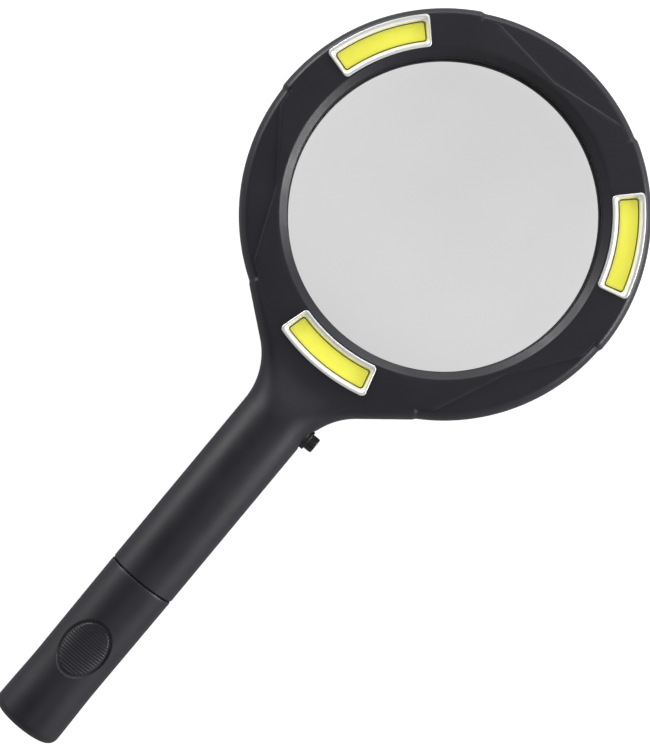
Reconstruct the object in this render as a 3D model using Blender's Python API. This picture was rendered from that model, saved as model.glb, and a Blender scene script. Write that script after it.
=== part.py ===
"""Illuminated hand magnifier for low vision, lying on its back.

The round head holds a 90 mm lens and three strip lamps. The handle holds two AA cells, and its
rear half is a cap that slides off. Units are metres. The handle points along -Y, the lamps face
+Z and the push button faces +X. The origin is the middle of the box's floor.
"""

import math

import bmesh
import bpy
from mathutils import Matrix, Vector

MM = 0.001

# The gap that every two touching pieces keep between their meshes.
GAP = 0.3 * MM
HALF_GAP = 0.15 * MM

# Head: the ring round the lens, measured from the lens centre and the middle plane.
OPENING_R = 45.0 * MM
RING_WIDTH = 14.9 * MM
HEAD_HALF = 7.0 * MM
HEAD_EDGE_R = 2.1 * MM
BEVEL = 2.5 * MM
LIP_Z = 1.8 * MM
RING_ROOF = 1.8 * MM
RING_WALL = 1.7 * MM
GROOVE_WALL = 1.6 * MM
STEPS_ROUND_HEAD = 60

# Lowered segments of the head, between the lamps.
SEGMENT_DEPTH = 0.45 * MM
SEGMENT_HALF_ANGLE = math.radians(28.8)
SEGMENT_APEX_INSET = 3.9 * MM
SEGMENT_ANGLES = [math.radians(a) for a in (90, 210, 330)]

# Lens, held this far under the lips.
LENS_HOLD = 2.0 * MM
LENS_SIDE_R = 230.0 * MM

# Strip lamps. Each lies along an arc of the head; "half" is half of its length along that arc.
LAMP_ANGLES = [math.radians(a) for a in (270, 30, 150)]
LAMP_NAMES = ("handle", "right", "left")
LAMP_INSET = 7.75 * MM
BEZEL_WIDTH = 9.5 * MM
BEZEL_HALF = 14.6 * MM
BEZEL_PROUD = 0.6 * MM
BEZEL_FLANGE = 0.8 * MM
BEZEL_OVERLAP = 0.95 * MM
BEZEL_END_OVERLAP = 0.4 * MM
TROUGH_FLOOR = 4.7 * MM
MOUTH_INSET = 0.2 * MM
PHOSPHOR_WIDTH = 5.2 * MM
PHOSPHOR_HALF = 13.4 * MM
PHOSPHOR_THICK = 1.6 * MM
PHOSPHOR_GAP = 0.2 * MM
BOARD_WIDTH = 7.0 * MM
BOARD_HALF = 15.3 * MM
BOARD_THICK = 1.0 * MM
CORNER_R = 0.8 * MM

# Handle, measured along s, the distance from the lens centre towards the tail.
HANDLE_R = 10.6 * MM
SHELL_WALL = 1.5 * MM
SEAM_PAST_CELL = 3.1 * MM
TAIL_FLOOR = 1.7 * MM
TAIL_EDGE_R = 2.7 * MM
WAIST_TO_TAIL = 20.0 * MM
WAIST_DEPTH = 0.2 * MM
FLARE_HEIGHT = 0.1 * MM
NECK_LEAVES_AT = math.radians(30.5)
NECK_SLOPE = math.radians(51.0)
NECK_FILLET_R = 20.5 * MM
NECK_RISE_LENGTH = 13.2 * MM
NECK_SINK = 0.05 * MM
NECK_ROOM_INSET = 3.9 * MM

# Battery compartment.
CELL_R = 7.25 * MM
CELL_LENGTH = 50.5 * MM
CELL_NUB_R = 2.75 * MM
CELL_NUB = 1.2 * MM
CELL_CLEARANCE = 0.35 * MM
CAP_CLEARANCE = 0.1 * MM
SPIGOT = 13.5 * MM
RIB_FROM_TUBE_END = 19.3 * MM
RIB_HALF = 1.2 * MM
RIB_DEPTH = 0.6 * MM
HOLDER_PAST_SWITCH = 1.6 * MM
HOLDER_THICK = 1.5 * MM
CONTACT_THICK = 0.4 * MM
CONTACT_R = 5.5 * MM
STRIP_WIDTH = 3.0 * MM
STRIP_THICK = 0.3 * MM
SPRING_LENGTH = 3.8 * MM
SPRING_WIRE_R = 0.4 * MM

# Push switch.
BUTTON_BEFORE_HANDLE = 2.1 * MM
BUTTON_R = 2.4 * MM
BUTTON_PROUD = 3.5 * MM
BUTTON_TRAVEL = 1.2 * MM
COLLAR_PROUD = 1.0 * MM
COLLAR_WALL = 0.9 * MM
COLLAR_FLANGE = 0.6 * MM
FLANGE_THICK = 0.7 * MM
BUTTON_FLANGE = 0.7 * MM
SWITCH_HALF = 3.5 * MM
PLUNGER_R = 1.2 * MM
PLUNGER_IN_SWITCH = 0.5 * MM
COLLAR_TO_BORE = 2.2 * MM
PCB_LENGTH = 15.1 * MM
PCB_THICK = 1.2 * MM

# Screws that close the two shells, put in from the back.
SCREW_HEAD_R = 2.1 * MM
SCREW_HEAD = 1.4 * MM
SCREW_SHANK_R = 0.9 * MM
SCREW_SEAT_Z = 5.0 * MM
SCREW_TIP_Z = 3.4 * MM
SCREW_CROSS = 0.5 * MM
BOSS_R = 2.9 * MM
BOSS_IN_ROOF = 0.8 * MM
NECK_BOSS_RISE = 1.2 * MM
RING_SCREW_INSET = 8.5 * MM
NECK_SCREW_PAST_RING = 2.6 * MM
NECK_SCREW_X = 10.5 * MM

# Oval grip on the cap.
GRIP_TO_TAIL = 29.4 * MM
GRIP_LENGTH = 18.6 * MM
GRIP_WIDTH = 14.4 * MM
GRIP_DEPTH = 0.8 * MM
GRIP_GROOVE = 0.9 * MM

WIRE_R = 0.6 * MM

# Worked out from the sizes above: the head.
HEAD_R = OPENING_R + RING_WIDTH
SEGMENT_APEX_R = OPENING_R + SEGMENT_APEX_INSET
LENS_R = OPENING_R + LENS_HOLD
LENS_EDGE_HALF = LIP_Z - GAP
GROOVE_R = LENS_R + GAP
CHANNEL_R0 = GROOVE_R + GROOVE_WALL
CHANNEL_R1 = HEAD_R - RING_WALL
LAMP_R = OPENING_R + LAMP_INSET
TROUGH_WIDTH = BEZEL_WIDTH - 2 * BEZEL_OVERLAP
TROUGH_HALF = BEZEL_HALF - BEZEL_END_OVERLAP
SEAT_Z = HEAD_HALF + BEZEL_PROUD - BEZEL_FLANGE - GAP
TROUGH_WALL_FOOT = TROUGH_FLOOR + PHOSPHOR_THICK
BOARD_TOP = TROUGH_FLOOR - GAP
RING_SCREW_R = OPENING_R + RING_SCREW_INSET
NECK_SCREW_S = HEAD_R + NECK_SCREW_PAST_RING

# The neck's outline: it leaves the ring at the tangent point and meets the handle at the fillet's end.
TANGENT_S = HEAD_R * math.cos(NECK_LEAVES_AT)
TANGENT_W = HEAD_R * math.sin(NECK_LEAVES_AT)
FILLET_W = HANDLE_R + NECK_FILLET_R
FILLET_S = TANGENT_S + (NECK_FILLET_R / math.cos(NECK_SLOPE) - FILLET_W + TANGENT_W) / math.tan(NECK_SLOPE)
NECK_RISE_FROM = HEAD_R - HEAD_EDGE_R

# The switch, from the button's collar inwards.
BORE_R = HANDLE_R - SHELL_WALL
BUTTON_S = FILLET_S - BUTTON_BEFORE_HANDLE
COLLAR_R = BUTTON_R + GAP + COLLAR_WALL
COLLAR_X = BORE_R - COLLAR_TO_BORE
BUTTON_FLANGE_X = COLLAR_X - GAP - FLANGE_THICK
PLUNGER_END = BUTTON_FLANGE_X - GAP
PLUNGER_X = SWITCH_HALF - PLUNGER_IN_SWITCH
BUTTON_FLANGE_R = BUTTON_R + BUTTON_FLANGE
SWITCH_HALF_TALL = BUTTON_FLANGE_R
PCB_TOP = -SWITCH_HALF_TALL - GAP
PCB_HALF_WIDTH = min(COLLAR_X, NECK_SCREW_X - BOSS_R) - 2 * GAP

# The battery stack, from the contact holder to the tail.
HOLDER_S = BUTTON_S + SWITCH_HALF + HOLDER_PAST_SWITCH
HOLDER_END = HOLDER_S + HOLDER_THICK
PCB_END_S = HOLDER_S - HOLDER_PAST_SWITCH / 2
FIRST_CELL_S = HOLDER_END + 2 * GAP + CONTACT_THICK
SECOND_CELL_S = FIRST_CELL_S + CELL_LENGTH + GAP
SEAM_S = SECOND_CELL_S + SEAM_PAST_CELL
SPRING_S = SECOND_CELL_S + CELL_LENGTH + GAP
TAIL_PLATE_S = SPRING_S + SPRING_LENGTH + GAP
CAP_FLOOR_S = TAIL_PLATE_S + CONTACT_THICK + GAP
TAIL_S = CAP_FLOOR_S + TAIL_FLOOR
TUBE_R = BORE_R - GAP
TUBE_BORE_R = CELL_R + CELL_CLEARANCE
TUBE_START_S = HOLDER_END + GAP
TUBE_END_S = SEAM_S + SPIGOT
RIB_S = TUBE_START_S + RIB_FROM_TUBE_END
STRIP_Z = TUBE_BORE_R + STRIP_THICK
CAP_BORE_R = TUBE_BORE_R + CAP_CLEARANCE
CAP_MOUTH_R = TUBE_R + GAP
WAIST_S = TAIL_S - WAIST_TO_TAIL
WAIST_R = HANDLE_R - WAIST_DEPTH
FLARE_R = HANDLE_R + FLARE_HEIGHT
GRIP_S = TAIL_S - GRIP_TO_TAIL

# Where the head stands in the part's own frame.
MIDDLE_Z = max(FLARE_R, HEAD_HALF)
LENS_Y = (TAIL_S - (HEAD_R - SEGMENT_DEPTH)) / 2


def clear_scene():
    for thing in list(bpy.data.objects):
        bpy.data.objects.remove(thing, do_unlink=True)


def finish_material(name, colour, roughness, metallic=0.0, transmission=0.0):
    material = bpy.data.materials.new(name)
    material.use_nodes = True
    shader = material.node_tree.nodes["Principled BSDF"]
    shader.inputs["Base Color"].default_value = (*colour, 1.0)
    shader.inputs["Roughness"].default_value = roughness
    shader.inputs["Metallic"].default_value = metallic
    shader.inputs["Transmission Weight"].default_value = transmission
    material.diffuse_color = (*colour, 1.0)
    return material


# Meshes. Each function returns a closed mesh in the head's own frame.


def skin(loops, wrap=False):
    """Joins loops of equal length with quads; the ends are closed, or joined when wrap is set."""
    shape = bmesh.new()
    rows = [[shape.verts.new(point) for point in loop] for loop in loops]
    pairs = list(zip(rows, rows[1:]))
    if wrap:
        pairs.append((rows[-1], rows[0]))
    for low, high in pairs:
        for i in range(len(low)):
            j = (i + 1) % len(low)
            shape.faces.new((low[i], low[j], high[j], high[i]))
    if not wrap:
        shape.faces.new(rows[0][::-1])
        shape.faces.new(rows[-1])
    bmesh.ops.remove_doubles(shape, verts=shape.verts, dist=1e-7)
    bmesh.ops.recalc_face_normals(shape, faces=shape.faces)
    mesh = bpy.data.meshes.new("shape")
    shape.to_mesh(mesh)
    shape.free()
    return mesh


def turned(profile, steps):
    """Turns a closed profile of (radius, height) points round the Z axis."""
    loops = []
    for step in range(steps):
        angle = 2 * math.pi * step / steps
        loops.append([(r * math.cos(angle), r * math.sin(angle), z) for r, z in profile])
    shape = bmesh.new()
    rows = [[shape.verts.new(point) for point in loop] for loop in loops]
    count = len(profile)
    for i in range(steps):
        near, far = rows[i], rows[(i + 1) % steps]
        for j in range(count):
            k = (j + 1) % count
            if profile[j][0] > 0 or profile[k][0] > 0:
                shape.faces.new((near[j], near[k], far[k], far[j]))
    bmesh.ops.remove_doubles(shape, verts=shape.verts, dist=1e-7)
    bmesh.ops.dissolve_degenerate(shape, dist=1e-7, edges=shape.edges)
    bmesh.ops.recalc_face_normals(shape, faces=shape.faces)
    mesh = bpy.data.meshes.new("turned")
    shape.to_mesh(mesh)
    shape.free()
    return mesh


def turned_along_handle(profile, steps):
    """Turns (radius, s) points round the handle's axis."""
    mesh = turned([(r, s) for r, s in profile], steps)
    mesh.transform(Matrix.Rotation(math.radians(90), 4, "X"))
    return mesh


def turned_along_x(profile, steps):
    """Turns (radius, x) points round the button's axis."""
    mesh = turned(profile, steps)
    mesh.transform(Matrix.Rotation(math.radians(90), 4, "Y"))
    return mesh


def box(low, high):
    """A box between two corners."""
    corners = [(low[0], low[1]), (high[0], low[1]), (high[0], high[1]), (low[0], high[1])]
    return skin([[(x, y, low[2]) for x, y in corners], [(x, y, high[2]) for x, y in corners]])


def handle_box(half_x, s0, s1, z0, z1):
    """A box across the handle's axis from s0 to s1."""
    return box((-half_x, -s1, z0), (half_x, -s0, z1))


def rod(radius, z0, z1, x=0.0, y=0.0, steps=16):
    """An upright rod."""
    mesh = turned([(0, z0), (radius, z0), (radius, z1), (0, z1)], steps)
    mesh.transform(Matrix.Translation((x, y, 0)))
    return mesh


def arc(centre, radius, start, end, steps):
    """Points on an arc, its angles in degrees."""
    points = []
    for step in range(steps + 1):
        angle = math.radians(start + (end - start) * step / steps)
        points.append((centre[0] + radius * math.cos(angle), centre[1] + radius * math.sin(angle)))
    return points


def bent_strip(width, half, z, corner):
    """A rounded rectangle bent round the head: width across it, half its length along the arc."""
    inner_x, inner_y = half - corner, width / 2 - corner
    outline = []
    corners = ((inner_x, inner_y), (-inner_x, inner_y), (-inner_x, -inner_y), (inner_x, -inner_y))
    for start, (x, y) in zip((0, 90, 180, 270), corners):
        outline += arc((x, y), corner, start, start + 90, 3)
        if start in (0, 180):
            sign = 1 if start == 0 else -1
            outline += [(sign * inner_x * (1 - 2 * i / 8), sign * width / 2) for i in range(1, 8)]
    points = []
    for along, across in outline:
        angle = along / LAMP_R
        radius = LAMP_R + across
        points.append((radius * math.cos(angle), radius * math.sin(angle), z))
    return points


def strip_prism(width, half, z0, z1, corner=CORNER_R):
    return skin([bent_strip(width, half, z0, corner), bent_strip(width, half, z1, corner)])


def joined(meshes):
    """One mesh of several, for a cutter or for bodies that a union then joins."""
    shape = bmesh.new()
    for mesh in meshes:
        shape.from_mesh(mesh)
    mesh = bpy.data.meshes.new("joined")
    shape.to_mesh(mesh)
    shape.free()
    return mesh


def round_head(mesh_of_one, angles):
    """Copies of one mesh, turned to each angle round the lens."""
    copies = []
    for angle in angles:
        copy = mesh_of_one.copy()
        copy.transform(Matrix.Rotation(angle, 4, "Z"))
        copies.append(copy)
    return joined(copies)


# Objects.


def place(name, mesh, material, location=(0, 0, 0), turn=0.0, body=None):
    thing = bpy.data.objects.new(name, mesh)
    bpy.context.scene.collection.objects.link(thing)
    if not mesh.materials:
        mesh.materials.append(material)
    thing.parent = body or HEAD_CENTRE
    thing.location = location
    thing.rotation_euler = (0, 0, turn)
    mesh.shade_smooth()
    mesh.set_sharp_from_angle(angle=math.radians(35))
    return thing


def tool(name, mesh, operation, target):
    """Adds or takes away a hidden shape from the target. The shells' many cuts need the manifold solver."""
    helper = bpy.data.objects.new(name, mesh)
    bpy.context.scene.collection.objects.link(helper)
    helper.parent = target.parent
    helper.hide_render = True
    helper.display_type = "WIRE"
    modifier = target.modifiers.new(name, "BOOLEAN")
    modifier.operation = operation
    modifier.object = helper
    modifier.solver = "MANIFOLD" if target.name.endswith("shell") else "EXACT"
    return helper


def add(name, mesh, target):
    return tool(name, mesh, "UNION", target)


def cut(name, mesh, target):
    return tool(name, mesh, "DIFFERENCE", target)


def bare_wire(name, points, radius, material, body=None):
    """A round wire through points, as a curve with closed ends."""
    curve = bpy.data.curves.new(name, "CURVE")
    curve.dimensions = "3D"
    curve.bevel_depth = radius
    curve.bevel_resolution = 2
    curve.use_fill_caps = True
    spline = curve.splines.new("POLY")
    spline.points.add(len(points) - 1)
    for point, place_at in zip(spline.points, points):
        point.co = (*place_at, 1.0)
    curve.materials.append(material)
    thing = bpy.data.objects.new(name, curve)
    bpy.context.scene.collection.objects.link(thing)
    thing.parent = body or HEAD_CENTRE
    return thing


def smooth_route(marks, steps):
    """Points along a Catmull-Rom curve through the marks."""
    marks = [Vector(mark) for mark in marks]
    padded = [2 * marks[0] - marks[1], *marks, 2 * marks[-1] - marks[-2]]
    points = []
    for i in range(len(marks) - 1):
        a, b, c, d = padded[i : i + 4]
        for step in range(steps):
            t = step / steps
            bend = (2 * a - 5 * b + 4 * c - d) * t**2 + (3 * b - a - 3 * c + d) * t**3
            points.append(0.5 * (2 * b + (c - a) * t + bend))
    points.append(marks[-1])
    return [tuple(point) for point in points]


# The shells' outer form.


def smooth_step(value):
    value = min(1.0, max(0.0, value))
    return value * value * (3 - 2 * value)


def half_width(s):
    """Half of the outline's width: a straight flank, then a fillet into the handle."""
    if s >= FILLET_S:
        return HANDLE_R
    if s > FILLET_S - NECK_FILLET_R * math.sin(NECK_SLOPE):
        return FILLET_W - math.sqrt(NECK_FILLET_R**2 - (FILLET_S - s) ** 2)
    return TANGENT_W - (s - TANGENT_S) * math.tan(NECK_SLOPE)


def half_height(s):
    """The neck's height, from the head's face up to the top of the handle."""
    rise = smooth_step((s - NECK_RISE_FROM) / NECK_RISE_LENGTH)
    return HEAD_HALF - NECK_SINK + (HANDLE_R - HEAD_HALF + NECK_SINK) * rise


def corner_radius(s):
    """The radius of the neck's edge, which grows until the section is round."""
    grow = smooth_step((s - NECK_RISE_FROM) / (FILLET_S - NECK_RISE_FROM))
    return HEAD_EDGE_R + (HANDLE_R - HEAD_EDGE_R) * grow


def half_section(s, base, inset):
    """The neck's or handle's upper half at s, from its flat base at height base, set in by inset."""
    width = half_width(s) - inset
    height = half_height(s) - inset
    corner = max(0.5 * MM, min(corner_radius(s) - inset, height, width))
    outline = [(width, base)]
    outline += arc((width - corner, height - corner), corner, 0, 90, 9)
    outline += arc((corner - width, height - corner), corner, 90, 180, 9)
    outline.append((-width, base))
    return [(x, -s, z) for x, z in outline]


def half_neck(side, base, inset, start, end):
    """The neck and handle on one side of the middle plane; side is 1 for the front, -1 for the back."""
    stations = [start + (FILLET_S - start) * i / 12 for i in range(13)]
    loops = [half_section(s, base, inset) for s in [*stations, end]]
    return skin([[(x, y, side * z) for x, y, z in loop] for loop in loops])


def half_ring(side):
    """The head's section on one side: round edge, face, bevel, lip and the groove for the lens."""
    face = HEAD_HALF
    profile = [(HEAD_R, -MM)]
    profile += arc((HEAD_R - HEAD_EDGE_R, face - HEAD_EDGE_R), HEAD_EDGE_R, 0, 90, 4)
    profile += [
        (OPENING_R + BEVEL, face),
        (OPENING_R, face - BEVEL),
        (OPENING_R, LIP_Z),
        (GROOVE_R, LIP_Z),
        (GROOVE_R, -MM),
    ]
    return turned([(r, side * z) for r, z in profile], STEPS_ROUND_HEAD)


def screw_places():
    """Where the screws stand, in the head's frame."""
    places = [(RING_SCREW_R * math.cos(a), RING_SCREW_R * math.sin(a)) for a in SEGMENT_ANGLES]
    return places + [(side * NECK_SCREW_X, -NECK_SCREW_S) for side in (1, -1)]


def shell(name, side, material):
    """One of the two shells: outer form, less the wire channel and the room in the neck and handle."""
    piece = place(name, half_ring(side), material)
    start = TANGENT_S - 1.6 * MM
    add(name + "_neck", half_neck(side, -1.3 * MM, 0.0, start, SEAM_S - HALF_GAP), piece)
    channel = [
        (CHANNEL_R0, -side * 2 * MM),
        (CHANNEL_R1, -side * 2 * MM),
        (CHANNEL_R1, side * (HEAD_HALF - RING_ROOF)),
        (CHANNEL_R0, side * (HEAD_HALF - RING_ROOF)),
    ]
    cut(name + "_channel", turned(channel, STEPS_ROUND_HEAD), piece)
    cut(name + "_room", half_neck(side, -2.5 * MM, SHELL_WALL, HEAD_R - NECK_ROOM_INSET, SEAM_S + MM), piece)
    beyond = HEAD_HALF + MM
    flanks = sector(HEAD_R - SEGMENT_DEPTH, HEAD_R + 4 * MM, SEGMENT_HALF_ANGLE, -beyond, beyond)
    cut(name + "_segments", round_head(flanks, SEGMENT_ANGLES), piece)
    rib_r0, rib_r1 = BORE_R - RIB_DEPTH, BORE_R + SHELL_WALL / 2
    rib_s0, rib_s1 = RIB_S - RIB_HALF, RIB_S + RIB_HALF
    rib = [(rib_r0, rib_s0), (rib_r1, rib_s0), (rib_r1, rib_s1), (rib_r0, rib_s1)]
    add(name + "_rib", turned_along_handle(rib, 36), piece)
    return piece


def parting(side):
    """Everything past the plane where the two shells meet."""
    low, high = (-3 * HANDLE_R, HALF_GAP) if side > 0 else (-HALF_GAP, 3 * HANDLE_R)
    return box((-2 * HEAD_R, -TAIL_S, low), (2 * HEAD_R, 2 * HEAD_R, high))


def sector(r0, r1, half_angle, z0, z1, steps=18):
    """A prism over part of a ring."""
    outline = []
    for radius, sign in ((r0, 1), (r1, -1)):
        for step in range(steps + 1):
            angle = sign * half_angle * (2 * step / steps - 1)
            outline.append((radius * math.cos(angle), radius * math.sin(angle)))
    return skin([[(x, y, z0) for x, y in outline], [(x, y, z1) for x, y in outline]])


def segment_face():
    """The shallow V that lowers a segment's face."""
    notch = (
        HEAD_R * math.cos(SEGMENT_HALF_ANGLE) - SEGMENT_APEX_R,
        HEAD_R * math.sin(SEGMENT_HALF_ANGLE),
    )
    far = (SEGMENT_APEX_R + 1.2 * notch[0], 1.2 * notch[1])
    outline = [(SEGMENT_APEX_R, 0), far, (1.1 * HEAD_R, far[1]), (1.1 * HEAD_R, -far[1]), (far[0], -far[1])]
    low, high = HEAD_HALF - SEGMENT_DEPTH, HEAD_HALF + MM
    return skin([[(x, y, z) for x, y in outline] for z in (low, high)])


def button_hole():
    radius = COLLAR_R + GAP
    profile = [(0, HANDLE_R / 2), (radius, HANDLE_R / 2), (radius, 2 * HANDLE_R), (0, 2 * HANDLE_R)]
    mesh = turned_along_x(profile, 28)
    mesh.transform(Matrix.Translation((0, -BUTTON_S, 0)))
    return mesh


def make_shells(material):
    front = shell("front_shell", 1, material)
    back = shell("back_shell", -1, material)
    cut("front_shell_faces", round_head(segment_face(), SEGMENT_ANGLES), front)
    seat = strip_prism(BEZEL_WIDTH + 2 * GAP, BEZEL_HALF + GAP, SEAT_Z, HEAD_HALF + 2 * MM, CORNER_R + GAP)
    window = strip_prism(TROUGH_WIDTH + 2 * GAP, TROUGH_HALF + 0.2 * MM, 2 * MM, HEAD_HALF + MM)
    cut("lamp_seats", round_head(seat, LAMP_ANGLES), front)
    cut("lamp_windows", round_head(window, LAMP_ANGLES), front)
    places = screw_places()
    roof = HEAD_HALF - RING_ROOF + BOSS_IN_ROOF
    roofs = [roof] * len(SEGMENT_ANGLES) + [roof + NECK_BOSS_RISE] * 2
    bosses = [rod(BOSS_R, -MM, top, x, y) for top, (x, y) in zip(roofs, places)]
    add("front_bosses", joined(bosses), front)
    pilots = [rod(SCREW_SHANK_R + GAP, -3 * MM, SCREW_TIP_Z + GAP, x, y, 14) for x, y in places]
    cut("pilot_holes", joined(pilots), front)
    pillars = [rod(BOSS_R, -top, MM, x, y) for top, (x, y) in zip(roofs, places)]
    add("back_bosses", joined(pillars), back)
    holes = [rod(SCREW_SHANK_R + 0.5 * MM, -2 * HEAD_HALF, 3 * MM, x, y, 14) for x, y in places]
    cut("screw_holes", joined(holes), back)
    heads = [rod(SCREW_HEAD_R + GAP, -2 * HEAD_HALF, -SCREW_SEAT_Z, x, y, 24) for x, y in places]
    cut("screw_recesses", joined(heads), back)
    for piece, side in ((front, 1), (back, -1)):
        cut(piece.name + "_button_hole", button_hole(), piece)
        cut(piece.name + "_parting", parting(side), piece)


def make_lens(material):
    """Two equal convex faces and a flat rim that the shells' lips hold."""
    rim_r = OPENING_R + 0.3 * MM
    centre = LENS_EDGE_HALF - math.sqrt(LENS_SIDE_R**2 - rim_r**2)
    top = []
    for step in range(6):
        radius = rim_r * step / 5
        top.append((radius, centre + math.sqrt(LENS_SIDE_R**2 - radius**2)))
    profile = top + [(LENS_R, LENS_EDGE_HALF), (LENS_R, -LENS_EDGE_HALF)]
    profile += [(r, -z) for r, z in reversed(top)]
    place("lens", turned(profile, 48), material)


def make_lamps(chrome, board, phosphor):
    """Three bezels with sloping chrome walls, each over a board that carries a phosphor strip."""
    flange_low = HEAD_HALF + BEZEL_PROUD - BEZEL_FLANGE
    flange_top = HEAD_HALF + BEZEL_PROUD
    floor_width = PHOSPHOR_WIDTH + 2 * PHOSPHOR_GAP
    floor_half = PHOSPHOR_HALF + PHOSPHOR_GAP
    bezel = skin(
        [
            bent_strip(BEZEL_WIDTH, BEZEL_HALF, flange_low, CORNER_R),
            bent_strip(BEZEL_WIDTH, BEZEL_HALF, flange_top - 0.2 * MM, CORNER_R),
            bent_strip(BEZEL_WIDTH - 0.4 * MM, BEZEL_HALF - 0.2 * MM, flange_top, CORNER_R - 0.2 * MM),
            bent_strip(TROUGH_WIDTH - MOUTH_INSET, TROUGH_HALF - 0.1 * MM, flange_top, CORNER_R),
            bent_strip(floor_width, floor_half, TROUGH_WALL_FOOT, 0.5 * MM),
            bent_strip(floor_width, floor_half, TROUGH_FLOOR, 0.5 * MM),
            bent_strip(TROUGH_WIDTH, TROUGH_HALF, TROUGH_FLOOR, CORNER_R),
            bent_strip(TROUGH_WIDTH, TROUGH_HALF, flange_low, CORNER_R),
        ],
        wrap=True,
    )
    carrier = strip_prism(BOARD_WIDTH, BOARD_HALF, BOARD_TOP - BOARD_THICK, BOARD_TOP)
    strip = strip_prism(
        PHOSPHOR_WIDTH, PHOSPHOR_HALF, TROUGH_FLOOR, TROUGH_FLOOR + PHOSPHOR_THICK, 0.5 * MM
    )
    for name, angle in zip(LAMP_NAMES, LAMP_ANGLES):
        place("reflector_" + name, bezel, chrome, turn=angle)
        place("led_board_" + name, carrier, board, turn=angle)
        place("led_strip_" + name, strip, phosphor, turn=angle)


def make_screws(steel):
    """Five pan-head screws with a crossed recess."""
    low = -SCREW_SEAT_Z - GAP - SCREW_HEAD
    profile = [
        (0, low),
        (SCREW_HEAD_R - 0.5 * MM, low),
        (SCREW_HEAD_R, low + 0.4 * MM),
        (SCREW_HEAD_R, low + SCREW_HEAD),
        (SCREW_SHANK_R, low + SCREW_HEAD),
        (SCREW_SHANK_R, SCREW_TIP_Z - MM),
        (0, SCREW_TIP_Z),
    ]
    shank = turned(profile, 16)
    arm = 1.3 * MM
    for number, (x, y) in enumerate(screw_places(), 1):
        screw = place(f"screw_{number}", shank.copy(), steel, (x, y, 0))
        for letter, (half_x, half_y) in zip("ab", ((arm, SCREW_CROSS / 2), (SCREW_CROSS / 2, arm))):
            slot = box((-half_x, -half_y, low - MM), (half_x, half_y, low + 0.7 * MM))
            slot.transform(Matrix.Translation((x, y, 0)))
            cut(f"screw_{number}_slot_{letter}", slot, screw)


def make_switch(black, grey, brass, green):
    """Button, its collar, and the push switch on its circuit board."""
    here = (0, -BUTTON_S, 0)
    collar_end = HANDLE_R + COLLAR_PROUD
    collar = [
        (BUTTON_R + GAP, COLLAR_X),
        (COLLAR_R + COLLAR_FLANGE, COLLAR_X),
        (COLLAR_R + COLLAR_FLANGE, COLLAR_X + FLANGE_THICK),
        (COLLAR_R, COLLAR_X + FLANGE_THICK),
        (COLLAR_R, collar_end - 0.4 * MM),
        (COLLAR_R - 0.4 * MM, collar_end),
        (BUTTON_R + GAP, collar_end),
    ]
    place("button_collar", turned_along_x(collar, 28), black, here)
    end = HANDLE_R + BUTTON_PROUD
    flange_end = BUTTON_FLANGE_X + FLANGE_THICK
    stem = [(0, BUTTON_FLANGE_X), (BUTTON_FLANGE_R, BUTTON_FLANGE_X)]
    stem += [(BUTTON_FLANGE_R, flange_end), (BUTTON_R, flange_end)]
    stem += [(r, x) for r, x in arc((BUTTON_R - 0.7 * MM, end - 0.7 * MM), 0.7 * MM, 0, 90, 4)]
    stem.append((0, end))
    place("push_button", turned_along_x(stem, 28), black, here)
    corner = Vector((SWITCH_HALF, SWITCH_HALF, SWITCH_HALF_TALL))
    switch = place("switch_body", box(-corner, corner), grey, here)
    well_r = PLUNGER_R + GAP
    well_x = PLUNGER_X - BUTTON_TRAVEL - GAP
    well_end = 2 * SWITCH_HALF
    well = turned_along_x([(0, well_x), (well_r, well_x), (well_r, well_end), (0, well_end)], 20)
    well.transform(Matrix.Translation(here))
    cut("plunger_well", well, switch)
    plunger = [(0, PLUNGER_X), (PLUNGER_R, PLUNGER_X), (PLUNGER_R, PLUNGER_END), (0, PLUNGER_END)]
    place("switch_plunger", turned_along_x(plunger, 20), grey, here)
    coil_r = 2.1 * MM
    wire_r = 0.14 * MM
    start = SWITCH_HALF + wire_r + 0.1 * MM
    stop = BUTTON_FLANGE_X - wire_r - 0.1 * MM
    turns = 2.25
    count = 27
    points = []
    for i in range(count + 1):
        angle = 2 * math.pi * turns * i / count
        x = start + (stop - start) * i / count
        points.append((x, -BUTTON_S + coil_r * math.cos(angle), coil_r * math.sin(angle)))
    bare_wire("switch_spring", points, wire_r, brass)
    board = handle_box(PCB_HALF_WIDTH, PCB_END_S - PCB_LENGTH, PCB_END_S, PCB_TOP - PCB_THICK, PCB_TOP)
    place("circuit_board", board, green)
    chip_s = PCB_END_S - PCB_LENGTH + 3 * MM
    chip_z = PCB_TOP + GAP
    chip = box((1.4 * MM, -chip_s - 1.6 * MM, chip_z), (4.6 * MM, -chip_s, chip_z + 0.6 * MM))
    place("resistor", chip, black)


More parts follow.
